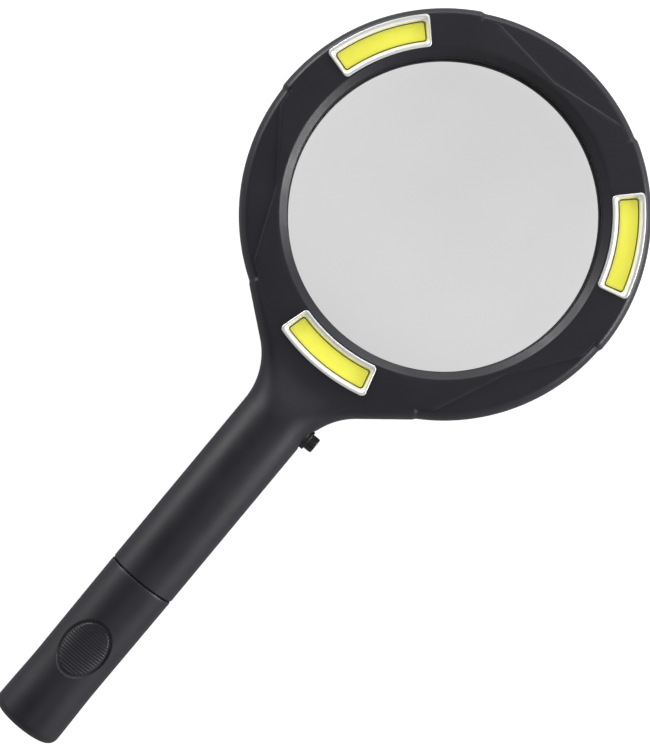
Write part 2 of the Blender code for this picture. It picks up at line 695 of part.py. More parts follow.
def make_power(plastic, liner, brass, steel, wrap):
    """Contacts, cells, the tube that holds them and the cap that closes it."""
    disc = [(0, HOLDER_S), (BORE_R - GAP, HOLDER_S), (BORE_R - GAP, HOLDER_END), (0, HOLDER_END)]
    holder = place("contact_holder", turned_along_handle(disc, 40), liner)
    tab_z = PCB_TOP + GAP
    tab_top = tab_z + CONTACT_THICK
    before, behind = HOLDER_S - MM, HOLDER_END + MM
    cut("tab_slot", handle_box(1.8 * MM, before, behind, tab_z - GAP, tab_top + GAP), holder)
    strip_half = STRIP_WIDTH / 2
    strip_room = strip_half + GAP
    cut("strip_slot", handle_box(strip_room, before, behind, -2 * HEAD_HALF, GAP - TUBE_BORE_R), holder)
    plate_s = HOLDER_END + GAP
    plate_end = plate_s + CONTACT_THICK
    disc = [(0, plate_s), (CONTACT_R, plate_s), (CONTACT_R, plate_end), (0, plate_end)]
    plate = place("positive_contact", turned_along_handle(disc, 28), brass)
    tab = handle_box(1.5 * MM, BUTTON_S + SWITCH_HALF + GAP, plate_s + CONTACT_THICK / 2, tab_z, tab_top)
    add("contact_tab", tab, plate)
    tube = place(
        "battery_tube",
        turned_along_handle(
            [
                (TUBE_BORE_R, TUBE_START_S),
                (TUBE_R, TUBE_START_S),
                (TUBE_R, RIB_S - RIB_HALF - GAP),
                (TUBE_R - RIB_DEPTH, RIB_S - RIB_HALF - GAP),
                (TUBE_R - RIB_DEPTH, RIB_S + RIB_HALF + GAP),
                (TUBE_R, RIB_S + RIB_HALF + GAP),
                (TUBE_R, TUBE_END_S),
                (TUBE_BORE_R, TUBE_END_S),
            ],
            40,
        ),
        liner,
    )
    channel = handle_box(strip_room, TUBE_START_S - MM, TUBE_END_S + MM, -STRIP_Z - GAP, 0)
    cut("strip_channel", channel, tube)
    strip = handle_box(strip_half, PCB_END_S + 0.3 * MM, TUBE_END_S, -STRIP_Z, STRIP_THICK - STRIP_Z)
    place("contact_strip", strip, brass)
    for name, start in (("front_cell", FIRST_CELL_S), ("rear_cell", SECOND_CELL_S)):
        profile = [
            (0, 0),
            (CELL_NUB_R, 0),
            (CELL_NUB_R, CELL_NUB),
            (CELL_R - 0.5 * MM, CELL_NUB),
            (CELL_R, CELL_NUB + 0.5 * MM),
            (CELL_R, CELL_LENGTH - 0.4 * MM),
            (CELL_R - 0.4 * MM, CELL_LENGTH),
            (0, CELL_LENGTH),
        ]
        place(name, turned_along_handle(profile, 32), wrap, (0, -start, 0))
    points = []
    turns, count = 3.25, 39
    for i in range(count + 1):
        share = i / count
        angle = 2 * math.pi * turns * share
        radius = (2.6 + 2.9 * share) * MM
        s = SPRING_S + SPRING_WIRE_R + (SPRING_LENGTH - 2 * SPRING_WIRE_R) * share
        points.append((radius * math.cos(angle), -s, radius * math.sin(angle)))
    bare_wire("tail_spring", points, SPRING_WIRE_R, steel)
    back = [(0, TAIL_PLATE_S), (6.6 * MM, TAIL_PLATE_S)]
    back += [(6.6 * MM, TAIL_PLATE_S + CONTACT_THICK), (0, TAIL_PLATE_S + CONTACT_THICK)]
    place("tail_contact", turned_along_handle(back, 32), brass)
    cap_strip = handle_box(
        strip_half, TUBE_END_S + 2 * GAP, TAIL_PLATE_S + CONTACT_THICK, -STRIP_Z, STRIP_THICK - STRIP_Z
    )
    place("cap_strip", cap_strip, brass)
    make_cap(plastic, strip_room)


def bent_oval(grip_r, inset, low, high):
    """The rings of an oval slab bent round the handle, between two depths under its surface."""
    rings = []
    shares = (0.2, 0.5, 0.8, 1.0)
    for depth, order in ((low, shares), (high, shares[::-1])):
        for share in order:
            ring = []
            for step in range(36):
                angle = 2 * math.pi * step / 36
                x = (GRIP_WIDTH / 2 - inset) * share * math.cos(angle)
                y = (GRIP_LENGTH / 2 - inset) * share * math.sin(angle) - GRIP_S
                ring.append((x, y, math.sqrt((grip_r - depth) ** 2 - x**2)))
            rings.append(ring)
    return rings


def make_cap(plastic, strip_room):
    """The rear half of the handle, with a waist, a flared round end and an oval grip."""
    mouth = SEAM_S + HALF_GAP
    flare_s = TAIL_S - TAIL_EDGE_R
    outer = [(HANDLE_R - 0.35 * MM, mouth), (HANDLE_R, mouth + 0.35 * MM)]
    for step in range(1, 5):
        share = step / 4
        outer.append((HANDLE_R + (WAIST_R - HANDLE_R) * share, mouth + (WAIST_S - mouth) * share))
    for step in range(1, 6):
        share = step / 5
        flare = (FLARE_R - WAIST_R) * smooth_step(share)
        outer.append((WAIST_R + flare, WAIST_S + (flare_s - WAIST_S) * share))
    outer += arc((FLARE_R - TAIL_EDGE_R, flare_s), TAIL_EDGE_R, 0, 90, 5)[1:]
    step_s = TUBE_END_S + GAP
    inner = [(0, TAIL_S), (0, CAP_FLOOR_S), (CAP_BORE_R, CAP_FLOOR_S), (CAP_BORE_R, step_s)]
    inner += [(CAP_MOUTH_R, step_s), (CAP_MOUTH_R, mouth)]
    cap = place("battery_cap", turned_along_handle(outer + inner, 44), plastic)
    cut("cap_channel", handle_box(strip_room, step_s - MM, CAP_FLOOR_S, -STRIP_Z - GAP, -5 * MM), cap)
    grip_r = HANDLE_R + (WAIST_R - HANDLE_R) * (GRIP_S - mouth) / (WAIST_S - mouth)
    cut("grip_recess", skin(bent_oval(grip_r, 0, GRIP_DEPTH, -MM)), cap)
    add("grip_pad", skin(bent_oval(grip_r, GRIP_GROOVE, GRIP_DEPTH + 0.4 * MM, 0.25 * MM)), cap)


def make_wires(red, black):
    """The lead from the board to the nearest lamp, and one from there to each of the others."""
    below = BOARD_TOP - BOARD_THICK - WIRE_R - GAP
    start_s = PCB_END_S - PCB_LENGTH + MM
    end_s = LAMP_R + 0.75 * MM
    marks = [
        (-2 * MM, -start_s - MM, PCB_TOP + WIRE_R + GAP),
        (-2 * MM, -start_s + MM, PCB_TOP + WIRE_R + GAP),
        (-3 * MM, (-start_s - end_s) / 2 - MM, 0.0),
        (-3 * MM, -end_s - 3.5 * MM, below),
        (-3 * MM, -end_s, below),
    ]
    bare_wire("lamp_lead", smooth_route(marks, 4), WIRE_R, red)
    wire_r = CHANNEL_R1 - WIRE_R - GAP
    lamp_r = LAMP_R + 1.25 * MM
    for name, side, colour in (("right_lead", 1, red), ("left_lead", -1, black)):
        marks = []
        for turn, radius, z in (
            (6, lamp_r, below),
            (12, lamp_r + MM, below),
            (22, wire_r, 0.0),
            (40, wire_r, -0.5 * MM),
            (60, wire_r, -0.5 * MM),
            (80, wire_r, -0.5 * MM),
            (98, wire_r, 0.0),
            (108, lamp_r + MM, below),
            (114, lamp_r, below),
        ):
            angle = math.radians(-90 + side * turn)
            marks.append((radius * math.cos(angle), radius * math.sin(angle), z))
        bare_wire(name, smooth_route(marks, 3), WIRE_R, colour)


clear_scene()
HEAD_CENTRE = bpy.data.objects.new("head_centre", None)
bpy.context.scene.collection.objects.link(HEAD_CENTRE)
HEAD_CENTRE.location = (0, LENS_Y, MIDDLE_Z)

black_plastic = finish_material("black_plastic", (0.030, 0.031, 0.035), 0.45)
button_black = finish_material("button_black", (0.010, 0.010, 0.012), 0.35)
clear_acrylic = finish_material("clear_acrylic", (0.95, 0.97, 0.97), 0.02, transmission=1.0)
mirror_chrome = finish_material("mirror_chrome", (0.90, 0.90, 0.90), 0.08, 1.0)
white_board = finish_material("white_board", (0.80, 0.80, 0.78), 0.5)
yellow_phosphor = finish_material("yellow_phosphor", (0.95, 0.90, 0.08), 0.35)
liner_grey = finish_material("liner_grey", (0.12, 0.12, 0.13), 0.5)
green_board = finish_material("green_board", (0.02, 0.16, 0.07), 0.4)
brass = finish_material("brass", (0.75, 0.55, 0.22), 0.3, 1.0)
steel = finish_material("steel", (0.62, 0.62, 0.60), 0.3, 1.0)
cell_wrap = finish_material("cell_wrap", (0.20, 0.22, 0.24), 0.3, 0.6)
red_wire = finish_material("red_wire", (0.55, 0.03, 0.03), 0.5)
black_wire = finish_material("black_wire", (0.02, 0.02, 0.02), 0.5)

make_shells(black_plastic)
make_lens(clear_acrylic)
make_lamps(mirror_chrome, white_board, yellow_phosphor)
make_screws(steel)
make_switch(button_black, liner_grey, brass, green_board)
make_power(black_plastic, liner_grey, brass, steel, cell_wrap)
make_wires(red_wire, black_wire)
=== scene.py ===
import math

import bmesh
import bpy
import numpy as np
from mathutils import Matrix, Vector


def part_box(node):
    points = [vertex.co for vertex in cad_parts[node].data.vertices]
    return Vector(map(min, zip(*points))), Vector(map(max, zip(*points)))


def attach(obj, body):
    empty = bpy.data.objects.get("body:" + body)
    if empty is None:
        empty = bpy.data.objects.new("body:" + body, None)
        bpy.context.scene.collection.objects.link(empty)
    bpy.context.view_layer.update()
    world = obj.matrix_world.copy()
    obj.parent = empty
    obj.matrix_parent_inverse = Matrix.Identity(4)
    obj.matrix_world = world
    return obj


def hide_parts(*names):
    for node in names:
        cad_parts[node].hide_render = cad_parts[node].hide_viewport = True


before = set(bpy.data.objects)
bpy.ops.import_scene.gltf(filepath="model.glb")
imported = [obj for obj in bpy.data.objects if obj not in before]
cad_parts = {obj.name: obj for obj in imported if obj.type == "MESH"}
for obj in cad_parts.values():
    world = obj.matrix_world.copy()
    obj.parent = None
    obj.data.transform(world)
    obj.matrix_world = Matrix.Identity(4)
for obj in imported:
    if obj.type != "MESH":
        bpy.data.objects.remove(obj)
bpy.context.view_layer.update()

# ---------------------------------------------------------------------------------------------
# Front and back shell. Two injection-moulded halves in matte black ABS. They meet on the middle
# plane of ring, neck and handle, clamp the lens between their lips and are closed by five screws.
# ---------------------------------------------------------------------------------------------

lens_low, lens_high = (np.array(corner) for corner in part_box("lens"))
CENTRE = (lens_low + lens_high) / 2
MM = 0.001

RING_R = 59.9
RING_HALF = 7.0
RING_EDGE = 2.7
RING_INNER_R = 58.2
ROOF_Z = 5.2
CHANNEL_R = 48.9
OPENING_R = 45.25
BEVEL = 2.3
LIP_Z = 1.8
GROOVE_R = 47.3
PARTING = 0.06
PARTING_EDGE = 0.16
SEGMENT_DROP = 0.50
SEGMENT_HALF = 28.8
NOTCH = 0.45
SEGMENT_APEX_R = 48.9
SEGMENTS = (90.0, 210.0, 330.0)
LAMPS = {"handle": 270.0, "right": 30.0, "left": 150.0}
LAMP_R = 52.75
WINDOW_R = (49.1, 56.7)
WINDOW_HALF = 15.4
HANDLE_R = 10.6
SEAM_S = 136.67
SEAM_EDGE = 0.3
WALL = 1.5
SCREW_RING_R = 53.5
NECK_SCREW_X = 10.5
NECK_SCREW_S = 62.5
SCREW_HOLE_R = 1.4
SCREW_RECESS_R = 2.4
SCREW_RECESS_DEPTH = 2.0
BUTTON_S = 75.3
BUTTON_HOLE_R = 3.9
NECK_AT = 30.5
NECK_SLOPE = math.radians(51.0)
NECK_FILLET = 20.5
FLAT_R = RING_R - RING_EDGE
TANGENT_S = RING_R * math.cos(math.radians(NECK_AT))
TANGENT_W = RING_R * math.sin(math.radians(NECK_AT))
FILLET_W = HANDLE_R + NECK_FILLET
FILLET_RUN = NECK_FILLET / math.cos(NECK_SLOPE) - FILLET_W + TANGENT_W
FILLET_S = TANGENT_S + FILLET_RUN / math.tan(NECK_SLOPE)
SEGMENT_TURNS = [math.radians(a) for a in SEGMENTS]
SCREW_PLACES = [(SCREW_RING_R * math.cos(a), SCREW_RING_R * math.sin(a)) for a in SEGMENT_TURNS]
SCREW_PLACES += [(-NECK_SCREW_X, -NECK_SCREW_S), (NECK_SCREW_X, -NECK_SCREW_S)]


def ease(value):
    """0 below 0, 1 above 1 and a smooth S between them."""
    value = np.clip(value, 0.0, 1.0)
    return value * value * (3 - 2 * value)


def mix(a, b, share):
    return a + (b - a) * share


def from_middle(angle, middle):
    """How far an angle is from the nearest of the middles, in degrees and without sign."""
    return np.min([np.abs((angle - m + 180) % 360 - 180) for m in np.atleast_1d(middle)], axis=0)


def quads(columns, rows, wrap_columns=False, wrap_rows=False):
    """Faces of a grid whose vertex i, j has the number i * rows + j."""
    i = np.arange(columns if wrap_columns else columns - 1)
    j = np.arange(rows if wrap_rows else rows - 1)
    i, j = (axis.ravel() for axis in np.meshgrid(i, j, indexing="ij"))
    i2, j2 = (i + 1) % columns, (j + 1) % rows
    return np.stack([i * rows + j, i2 * rows + j, i2 * rows + j2, i * rows + j2], axis=1)


def solid(name, parts, sharp=32):
    """One closed object from (points, faces) in millimetres round the lens centre, its seams merged."""
    points, faces, count = [], [], 0
    for some, corners in parts:
        some = np.asarray(some, float).reshape(-1, 3)
        points.append(some)
        corners = corners.tolist() if isinstance(corners, np.ndarray) else corners
        faces += [[corner + count for corner in dict.fromkeys(face)] for face in corners]
        count += len(some)
    mesh = bpy.data.meshes.new(name)
    mesh.from_pydata(np.vstack(points) * MM + CENTRE, [], [face for face in faces if len(face) > 2])
    shape = bmesh.new()
    shape.from_mesh(mesh)
    bmesh.ops.remove_doubles(shape, verts=shape.verts, dist=2e-6)
    bmesh.ops.dissolve_degenerate(shape, dist=1e-6, edges=shape.edges)
    bmesh.ops.recalc_face_normals(shape, faces=shape.faces)
    shape.to_mesh(mesh)
    shape.free()
    mesh.shade_smooth()
    mesh.set_sharp_from_angle(angle=math.radians(sharp))
    thing = bpy.data.objects.new(name, mesh)
    bpy.context.scene.collection.objects.link(thing)
    return thing


def carved(thing, cutters):
    """The object with each cutter taken out of it, as a plain mesh; the cutters are removed."""
    for cutter in cutters:
        change = thing.modifiers.new("cut", "BOOLEAN")
        change.operation, change.solver, change.object = "DIFFERENCE", "MANIFOLD", cutter
        graph = bpy.context.evaluated_depsgraph_get()
        mesh = bpy.data.meshes.new_from_object(thing.evaluated_get(graph))
        thing.modifiers.clear()
        thing.data = mesh
        bpy.data.objects.remove(cutter)
    thing.data.materials.clear()
    thing.data.shade_smooth()
    thing.data.set_sharp_from_angle(angle=math.radians(32))
    return thing


def turned(profile, steps, axis="z"):
    """A closed profile of (radius, height) turned round an axis through the lens centre."""
    radius, height = np.array(profile, float).T
    angle = np.linspace(0, 2 * np.pi, steps, endpoint=False)[:, None]
    x, y = radius * np.cos(angle), radius * np.sin(angle)
    z = np.broadcast_to(height, x.shape)
    order = {"z": (x, y, z), "s": (x, -z, y), "x": (z, x, y)}[axis]
    return np.stack(order, axis=-1), quads(steps, len(profile), True, radius[0] > 0)


def arc(x, y, radius, start, end, steps):
    """Points on an arc, its angles in degrees."""
    angle = np.radians(np.linspace(start, end, steps + 1))
    return np.stack([x + radius * np.cos(angle), y + radius * np.sin(angle)], axis=1)


def ring_columns():
    """Angles round the ring, about one each degree, with more at each notch and each lamp window."""
    beside_notch = [SEGMENT_HALF + more for more in (-0.8, -0.45, 0.0, 0.45, 0.8)]
    beside_window = [WINDOW_HALF - 0.15, WINDOW_HALF]
    handle = LAMPS["handle"]
    angles = [handle + np.linspace(NECK_AT, 360 - NECK_AT, 301)]
    angles.append(handle + np.linspace(-NECK_AT, NECK_AT, 63))
    for middles, offsets in ((SEGMENTS, beside_notch), (LAMPS.values(), beside_window)):
        for middle in middles:
            angles += [middle + np.array(offsets), middle - np.array(offsets)]
    return np.unique(np.round(np.concatenate(angles) % 360, 4))


def ring_profile(angle, plain):
    """Radius and height of each row of the ring's closed section, for a column at each angle.

    The rows climb the outer side, a quarter of an ellipse from the middle plane to the face, go in
    along the face, down the bevel and the lip, and back along the wire channel. On the front, each
    segment between two lamps lies lower outside a V of two straight lines that meet near the bevel,
    and the outer side steps in there, with a small notch at either end. Plain is the back's section,
    whose face is level all round."""
    off = from_middle(angle, SEGMENTS)
    inside = 1 - ease((off - SEGMENT_HALF + 0.8) / 1.6)
    low = np.zeros_like(angle) if plain else inside
    outer = RING_R - NOTCH * inside
    notch_x = RING_R * math.cos(math.radians(SEGMENT_HALF)) - SEGMENT_APEX_R
    notch_y = RING_R * math.sin(math.radians(SEGMENT_HALF))
    turn = np.radians(np.minimum(off, SEGMENT_HALF))
    line = SEGMENT_APEX_R * notch_y / (notch_y * np.cos(turn) - notch_x * np.sin(turn))
    near_lamp = ease((off - SEGMENT_HALF) / 12.0)
    inner_edge = mix(np.minimum(line - 0.25, FLAT_R - 0.75), WINDOW_R[0], near_lamp)
    outer_edge = mix(np.minimum(line + 0.25, FLAT_R - 0.55), WINDOW_R[1], near_lamp)
    in_window = from_middle(angle, list(LAMPS.values())) < WINDOW_HALF + 2
    inner_edge[in_window], outer_edge[in_window] = WINDOW_R
    top = RING_HALF - SEGMENT_DROP * low
    rows = [(outer - PARTING_EDGE, np.full_like(angle, PARTING))]
    for bend in np.radians([1.8, 7, 14, 21, 28, 35, 42, 48, 54, 60, 66, 72, 77, 82, 86, 90]):
        rows.append((outer - RING_EDGE * (1 - math.cos(bend)), top * math.sin(bend)))
    rim = len(rows) - 1
    for share in np.linspace(0, 1, 9)[1:]:
        rows.append((mix(outer - RING_EDGE, outer_edge, share), top))
    for share in np.linspace(0, 1, 7)[1:]:
        fall = SEGMENT_DROP * low * (1 - ease(share))
        rows.append((mix(outer_edge, inner_edge, share), RING_HALF - fall))
    bevel_r = OPENING_R + BEVEL
    for share in np.linspace(0, 1, 7)[1:]:
        rows.append((mix(inner_edge, bevel_r + 0.25, share), np.full_like(angle, RING_HALF)))
    window = (rim + 8, rim + 14)
    fixed = [(bevel_r + 0.02, RING_HALF - 0.05), (bevel_r - 0.18, RING_HALF - 0.2)]
    fixed += [(bevel_r - s, RING_HALF - s) for s in (0.4, 1.2, 1.95)]
    fixed += [(OPENING_R + 0.2, RING_HALF - BEVEL + 0.22), (OPENING_R + 0.04, RING_HALF - BEVEL - 0.05)]
    fixed += [(OPENING_R, RING_HALF - BEVEL - 0.4), (OPENING_R, LIP_Z + 0.9), (OPENING_R, LIP_Z + 0.2)]
    fixed += [(OPENING_R + 0.2, LIP_Z), (GROOVE_R, LIP_Z), (GROOVE_R, PARTING), (CHANNEL_R, PARTING)]
    fixed += [(CHANNEL_R, ROOF_Z)]
    fixed += [(WINDOW_R[0], ROOF_Z), (WINDOW_R[1], ROOF_Z), (RING_INNER_R, ROOF_Z)]
    roof = (len(rows) + len(fixed) - 3, len(rows) + len(fixed) - 2)
    fixed += [(RING_INNER_R, 2.5), (RING_INNER_R, PARTING)]
    rows += [(np.full_like(angle, r), np.full_like(angle, z)) for r, z in fixed]
    r, z = (np.stack([row[k] for row in rows], axis=1) for k in (0, 1))
    return r, z, rim, window, roof


def resampled(curve, shares):
    """Points at these shares of a polyline's length."""
    step = np.concatenate([[0], np.cumsum(np.linalg.norm(np.diff(curve, axis=0), axis=1))])
    return np.stack([np.interp(shares * step[-1], step, curve[:, k]) for k in range(3)], axis=1)


def neck_rows(first, inset, count=64):
    """Rows of the neck and handle, from the ring's own row to the seam.

    Each row is a mix of two curves over the same outline. One is the ring's: a quarter ellipse at
    right angles to the outline, then flat across. The other is a half ellipse, and a half circle at
    the end. Rows bow towards the tail in the middle, less and less. Points lie at the first row's
    shares of the length, which change to even shares along the neck. The inset is the depth under
    the outer surface, so the same rows make the inner side of the wall."""
    base = first[0, 2]
    length = np.concatenate([[0], np.cumsum(np.linalg.norm(np.diff(first, axis=0), axis=1))])
    shares = length / length[-1]
    even = np.linspace(0, 1, len(first))
    across = np.linspace(1, -1, 61)[1:-1]
    bend = np.radians(np.linspace(0, 90, 13))
    turn = np.linspace(0, np.pi, 181)
    rows = [first]
    for share in np.linspace(0, 1, count + 1)[1:]:
        s = mix(TANGENT_S, FILLET_S, share)
        if s < FILLET_S - NECK_FILLET * math.sin(NECK_SLOPE):
            width, slope = TANGENT_W - (s - TANGENT_S) * math.tan(NECK_SLOPE), NECK_SLOPE
        else:
            slope = math.asin(min(1.0, max(0.0, (FILLET_S - s) / NECK_FILLET)))
            width = FILLET_W - NECK_FILLET * math.cos(slope)
        middle = mix(FLAT_R, FILLET_S, share) - inset * 0.5 * (1 - share)
        inward = np.array([-math.cos(slope), -math.sin(slope)])
        start = np.array([width, s]) + inward * inset
        flat_z = mix(first[:, 2].max(), RING_HALF - inset, min(1.0, 4 * share))
        edge = max(RING_EDGE - inset, 0.6)
        plan = start + inward * (edge * (1 - np.cos(bend)))[:, None]
        right = np.column_stack([plan, np.maximum(flat_z * np.sin(bend), base)])
        top_s = plan[-1, 1] + (middle - plan[-1, 1]) * (1 - across**2)
        top = np.column_stack([plan[-1, 0] * across, top_s, np.full(len(across), flat_z)])
        flat = np.vstack([right, top, right[::-1] * [-1, 1, 1]])
        height = mix(RING_HALF, HANDLE_R, ease((middle - 58.6) / 13.0)) - inset
        bow = start[1] + (middle - start[1]) * np.sin(turn) ** 2
        round_z = np.maximum(height * np.sin(turn), base)
        oval = np.column_stack([start[0] * np.cos(turn), bow, round_z])
        at = mix(shares, even, ease(share))
        roundness = ease((share - 0.12) / 0.88)
        rows.append(mix(resampled(flat, at), resampled(oval, at), roundness))
    last = rows[-1]
    for s in (*np.linspace(FILLET_S, SEAM_S - SEAM_EDGE, 14)[1:], SEAM_S):
        row = last.copy()
        row[:, 1] = s
        if s == SEAM_S and inset == 0:
            row[:, ::2] *= (HANDLE_R - SEAM_EDGE) / HANDLE_R
            row[[0, -1], 2] = base
        rows.append(row)
    return np.array(rows)


def shell(name, side):
    """A shell as one closed surface, its side 1 for the front and -1 for the back.

    The ring is its section turned through the columns, less the part that the neck leaves open. The
    neck goes on from there outside and inside, and a face at the seam joins the two."""
    plain = side < 0
    angle = ring_columns()
    r, z, rim, window, roof = ring_profile(angle, plain)
    turn = np.radians(angle)[:, None]
    columns, rows = r.shape
    corner_roof = rows - 3
    faces = quads(columns, rows, True, True)
    i, j = faces[:, 0] // rows, faces[:, 0] % rows
    centre = (angle[i] + (np.roll(angle, -1)[i] - angle[i]) % 360 / 2) % 360
    in_neck = from_middle(centre, LAMPS["handle"]) < NECK_AT
    keep = ~(in_neck & ((j < rim) | (j >= corner_roof)))
    grid = np.stack([r * np.cos(turn), -r * np.sin(turn), z], axis=-1)
    ring = grid.reshape(-1, 3)
    parts = []
    if not plain:
        in_window = from_middle(centre, list(LAMPS.values())) < WINDOW_HALF
        keep &= ~(in_window & (((j >= window[0]) & (j < window[1])) | (j == roof[0])))
        parts += [(ring, faces) for faces in window_walls(angle, rows, window, roof)]
    parts.append((ring, faces[keep]))
    neck = np.flatnonzero(from_middle(angle, LAMPS["handle"]) < NECK_AT + 0.01)
    neck = neck[np.argsort(-angle[neck])]
    right, left = neck[0], neck[-1]
    outer = np.vstack([grid[right, : rim + 1], grid[neck[1:], rim], grid[left, :rim][::-1]])
    inner_rows = [rows - 1, rows - 2, rows - 3]
    inner = [grid[right, inner_rows], grid[neck[1:], corner_roof], grid[left, inner_rows[1::-1]]]
    inner = np.vstack(inner)
    outside, inside = neck_rows(outer, 0.0), neck_rows(inner, WALL)
    parts.append((outside, quads(*outside.shape[:2])))
    parts.append((inside, quads(*inside.shape[:2])))
    for edge in (0, -1):
        rim_strip = np.stack([outside[:, edge], inside[:, edge]], axis=1)
        parts.append((rim_strip, quads(len(rim_strip), 2)))
    parts.append(seam_face(outside[-1], inside[-1]))
    flip = np.array([1, -1, side])
    return solid(name, [(points.reshape(-1, 3) * flip, faces) for points, faces in parts])


def window_walls(angle, rows, window, roof):
    """The walls that join each lamp window's edge in the face to its edge in the channel's roof."""
    walls = []
    for middle in LAMPS.values():
        inside = np.flatnonzero(from_middle(angle, middle) < WINDOW_HALF + 0.01)
        order = inside[np.argsort((angle[inside] - middle + 180) % 360)] * rows
        for row, roof_row in ((window[0], roof[1]), (window[1], roof[0])):
            top, bottom = order + row, order + roof_row
            walls.append(np.stack([top[:-1], top[1:], bottom[1:], bottom[:-1]], axis=1))
        edge = np.append(np.arange(window[0], window[1] + 1), roof)
        walls.append(np.array([column + edge for column in (order[0], order[-1])]))
    return walls


def seam_face(outer, inner):
    """Closes the open end: each point of the outer row is joined to the inner one at its share."""
    points = np.vstack([outer, inner])
    nearest = np.round(np.linspace(0, len(inner) - 1, len(outer))).astype(int) + len(outer)
    here = np.arange(len(outer))
    return points, np.stack([here[:-1], here[1:], nearest[1:], nearest[:-1]], axis=1)


def shells():
    """Both shells, with the button's hole and, in the back one, the screw holes and their recesses."""
    past = 2.0
    floor_z = SCREW_RECESS_DEPTH - RING_HALF
    hole = [(0, 0), (BUTTON_HOLE_R, 0), (BUTTON_HOLE_R, RING_HALF * 2), (0, RING_HALF * 2)]
    recess = [(0, -RING_HALF - past), (SCREW_RECESS_R, -RING_HALF - past), (SCREW_RECESS_R, floor_z)]
    recess += [(SCREW_HOLE_R, floor_z), (SCREW_HOLE_R, past / 2), (0, past / 2)]
    for name, side in (("front_shell", 1), ("back_shell", -1)):
        thing = shell(name + "_skin", side)
        points, faces = turned(hole, 48, "x")
        cutters = [solid("hole", [(points + [0, -BUTTON_S, 0], faces)])]
        if side < 0:
            for x, y in SCREW_PLACES:
                points, faces = turned(recess, 40)
                cutters.append(solid("recess", [(points + [x, y, 0], faces)]))
        yield carved(thing, cutters)


class Wire:
    """A shader value. Arithmetic on it adds Math nodes, and node() adds a node of any other kind."""

    def __init__(self, tree, socket):
        self.tree, self.socket = tree, socket

    def node(self, kind, inputs, output=0, **settings):
        """Adds a node, fills its inputs by name or number and gives one of its outputs."""
        node = self.tree.nodes.new(kind)
        for key, value in settings.items():
            setattr(node, key, value)
        for key, value in inputs.items():
            if isinstance(value, Wire):
                self.tree.links.new(value.socket, node.inputs[key])
            else:
                node.inputs[key].default_value = value
        return Wire(self.tree, node.outputs[output])

    def maths(self, operation, *values):
        return self.node("ShaderNodeMath", dict(enumerate(values)), operation=operation)

    def __add__(self, other):
        return self.maths("ADD", self, other)

    def __sub__(self, other):
        return self.maths("SUBTRACT", self, other)

    def __mul__(self, other):
        return self.maths("MULTIPLY", self, other)

    def __truediv__(self, other):
        return self.maths("DIVIDE", self, other)

    def __rsub__(self, other):
        return self.maths("SUBTRACT", other, self)

    __radd__, __rmul__ = __add__, __mul__

    def between(self, low, high, start=0.0, end=1.0):
        """This value carried smoothly from the range low..high to start..end, and held beyond it."""
        inputs = {"Value": self, "From Min": low, "From Max": high, "To Min": start, "To Max": end}
        return self.node("ShaderNodeMapRange", inputs, interpolation_type="SMOOTHSTEP")

    def noise(self, scale, detail=2.0):
        return self.node("ShaderNodeTexNoise", {"Vector": self, "Scale": scale, "Detail": detail})


def finish(name, colour, roughness, metallic=0.0, spread=0.04, patch=60.0, grain=0.0, depth=0.02):
    """A material, its shader and its place, whose roughness drifts by the spread in soft patches.

    Patch and grain are the spots per metre of the drift and of a fine bump, depth is the bump's
    height in millimetres."""
    made = bpy.data.materials.new(name)
    made.use_nodes = True
    shader = made.node_tree.nodes["Principled BSDF"]
    place = Wire(made.node_tree, made.node_tree.nodes.new("ShaderNodeTexCoord").outputs["Object"])
    shader.inputs["Base Color"].default_value = (*colour, 1.0)
    shader.inputs["Metallic"].default_value = metallic
    drift = place.noise(patch, 3.0).between(0.3, 0.7, roughness - spread, roughness + spread)
    made.node_tree.links.new(drift.socket, shader.inputs["Roughness"])
    if grain:
        bumps = place.noise(grain)
        bump = bumps.node("ShaderNodeBump", {"Height": bumps, "Distance": depth * MM, "Strength": 1.0})
        made.node_tree.links.new(bump.socket, shader.inputs["Normal"])
    made.diffuse_color = (*colour, 1.0)
    return made, shader, place


def tint(shader, place, first, second, share, socket="Base Color"):
    """Sets a colour to a mix of two, by a share that changes over the surface."""
    inputs = {"Factor": share, "A": (*first, 1.0), "B": (*second, 1.0)}
    colour = place.node("ShaderNodeMix", inputs, 2, data_type="RGBA")
    place.tree.links.new(colour.socket, shader.inputs[socket])


def wear(node, thing, body, slot, *materials):
    """Gives a piece its materials and says which body it rides on and what it replaces; the slot is not
    used.
    """
    for made in materials:
        thing.data.materials.append(made)
    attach(thing, body)
    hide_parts(node)


black_plastic, black_shader, black_place = finish(
    "moulded_black_plastic", (0.014, 0.014, 0.018), 0.46, spread=0.05, patch=90.0, grain=2200.0, depth=0.013
)
blotch = black_place.noise(35.0, 4.0).between(0.35, 0.65)
tint(black_shader, black_place, (0.0105, 0.0104, 0.0165), (0.0135, 0.0134, 0.0195), blotch)
for node, skin in zip(("front_shell", "back_shell"), shells()):
    wear(node, skin, "head_and_handle", "black_plastic", black_plastic)

# ---------------------------------------------------------------------------------------------
# Lens. One double-convex disc of cast clear acrylic, polished, 90 mm across in the clear. Its rim
# is turned flat and lies between the lips of the two shells.
# ---------------------------------------------------------------------------------------------

LENS_R = 47.0
LENS_EDGE = 1.5
LENS_CURVE = 230.0
DISH_R = 45.3

dish_share = np.linspace(0, 1, 25)
dish_middle = LENS_EDGE - math.sqrt(LENS_CURVE**2 - DISH_R**2)
dish_r = DISH_R * dish_share
dish = np.stack([dish_r, dish_middle + np.sqrt(LENS_CURVE**2 - dish_r**2)], axis=1)
lens_rim = [(LENS_R - 0.15, LENS_EDGE), (LENS_R, LENS_EDGE - 0.15)]
half_profile = np.vstack([dish, lens_rim])
lens_profile = np.vstack([half_profile, half_profile[::-1] * [1, -1]])
lens = solid("lens_disc", [turned(lens_profile, 160)], sharp=25)

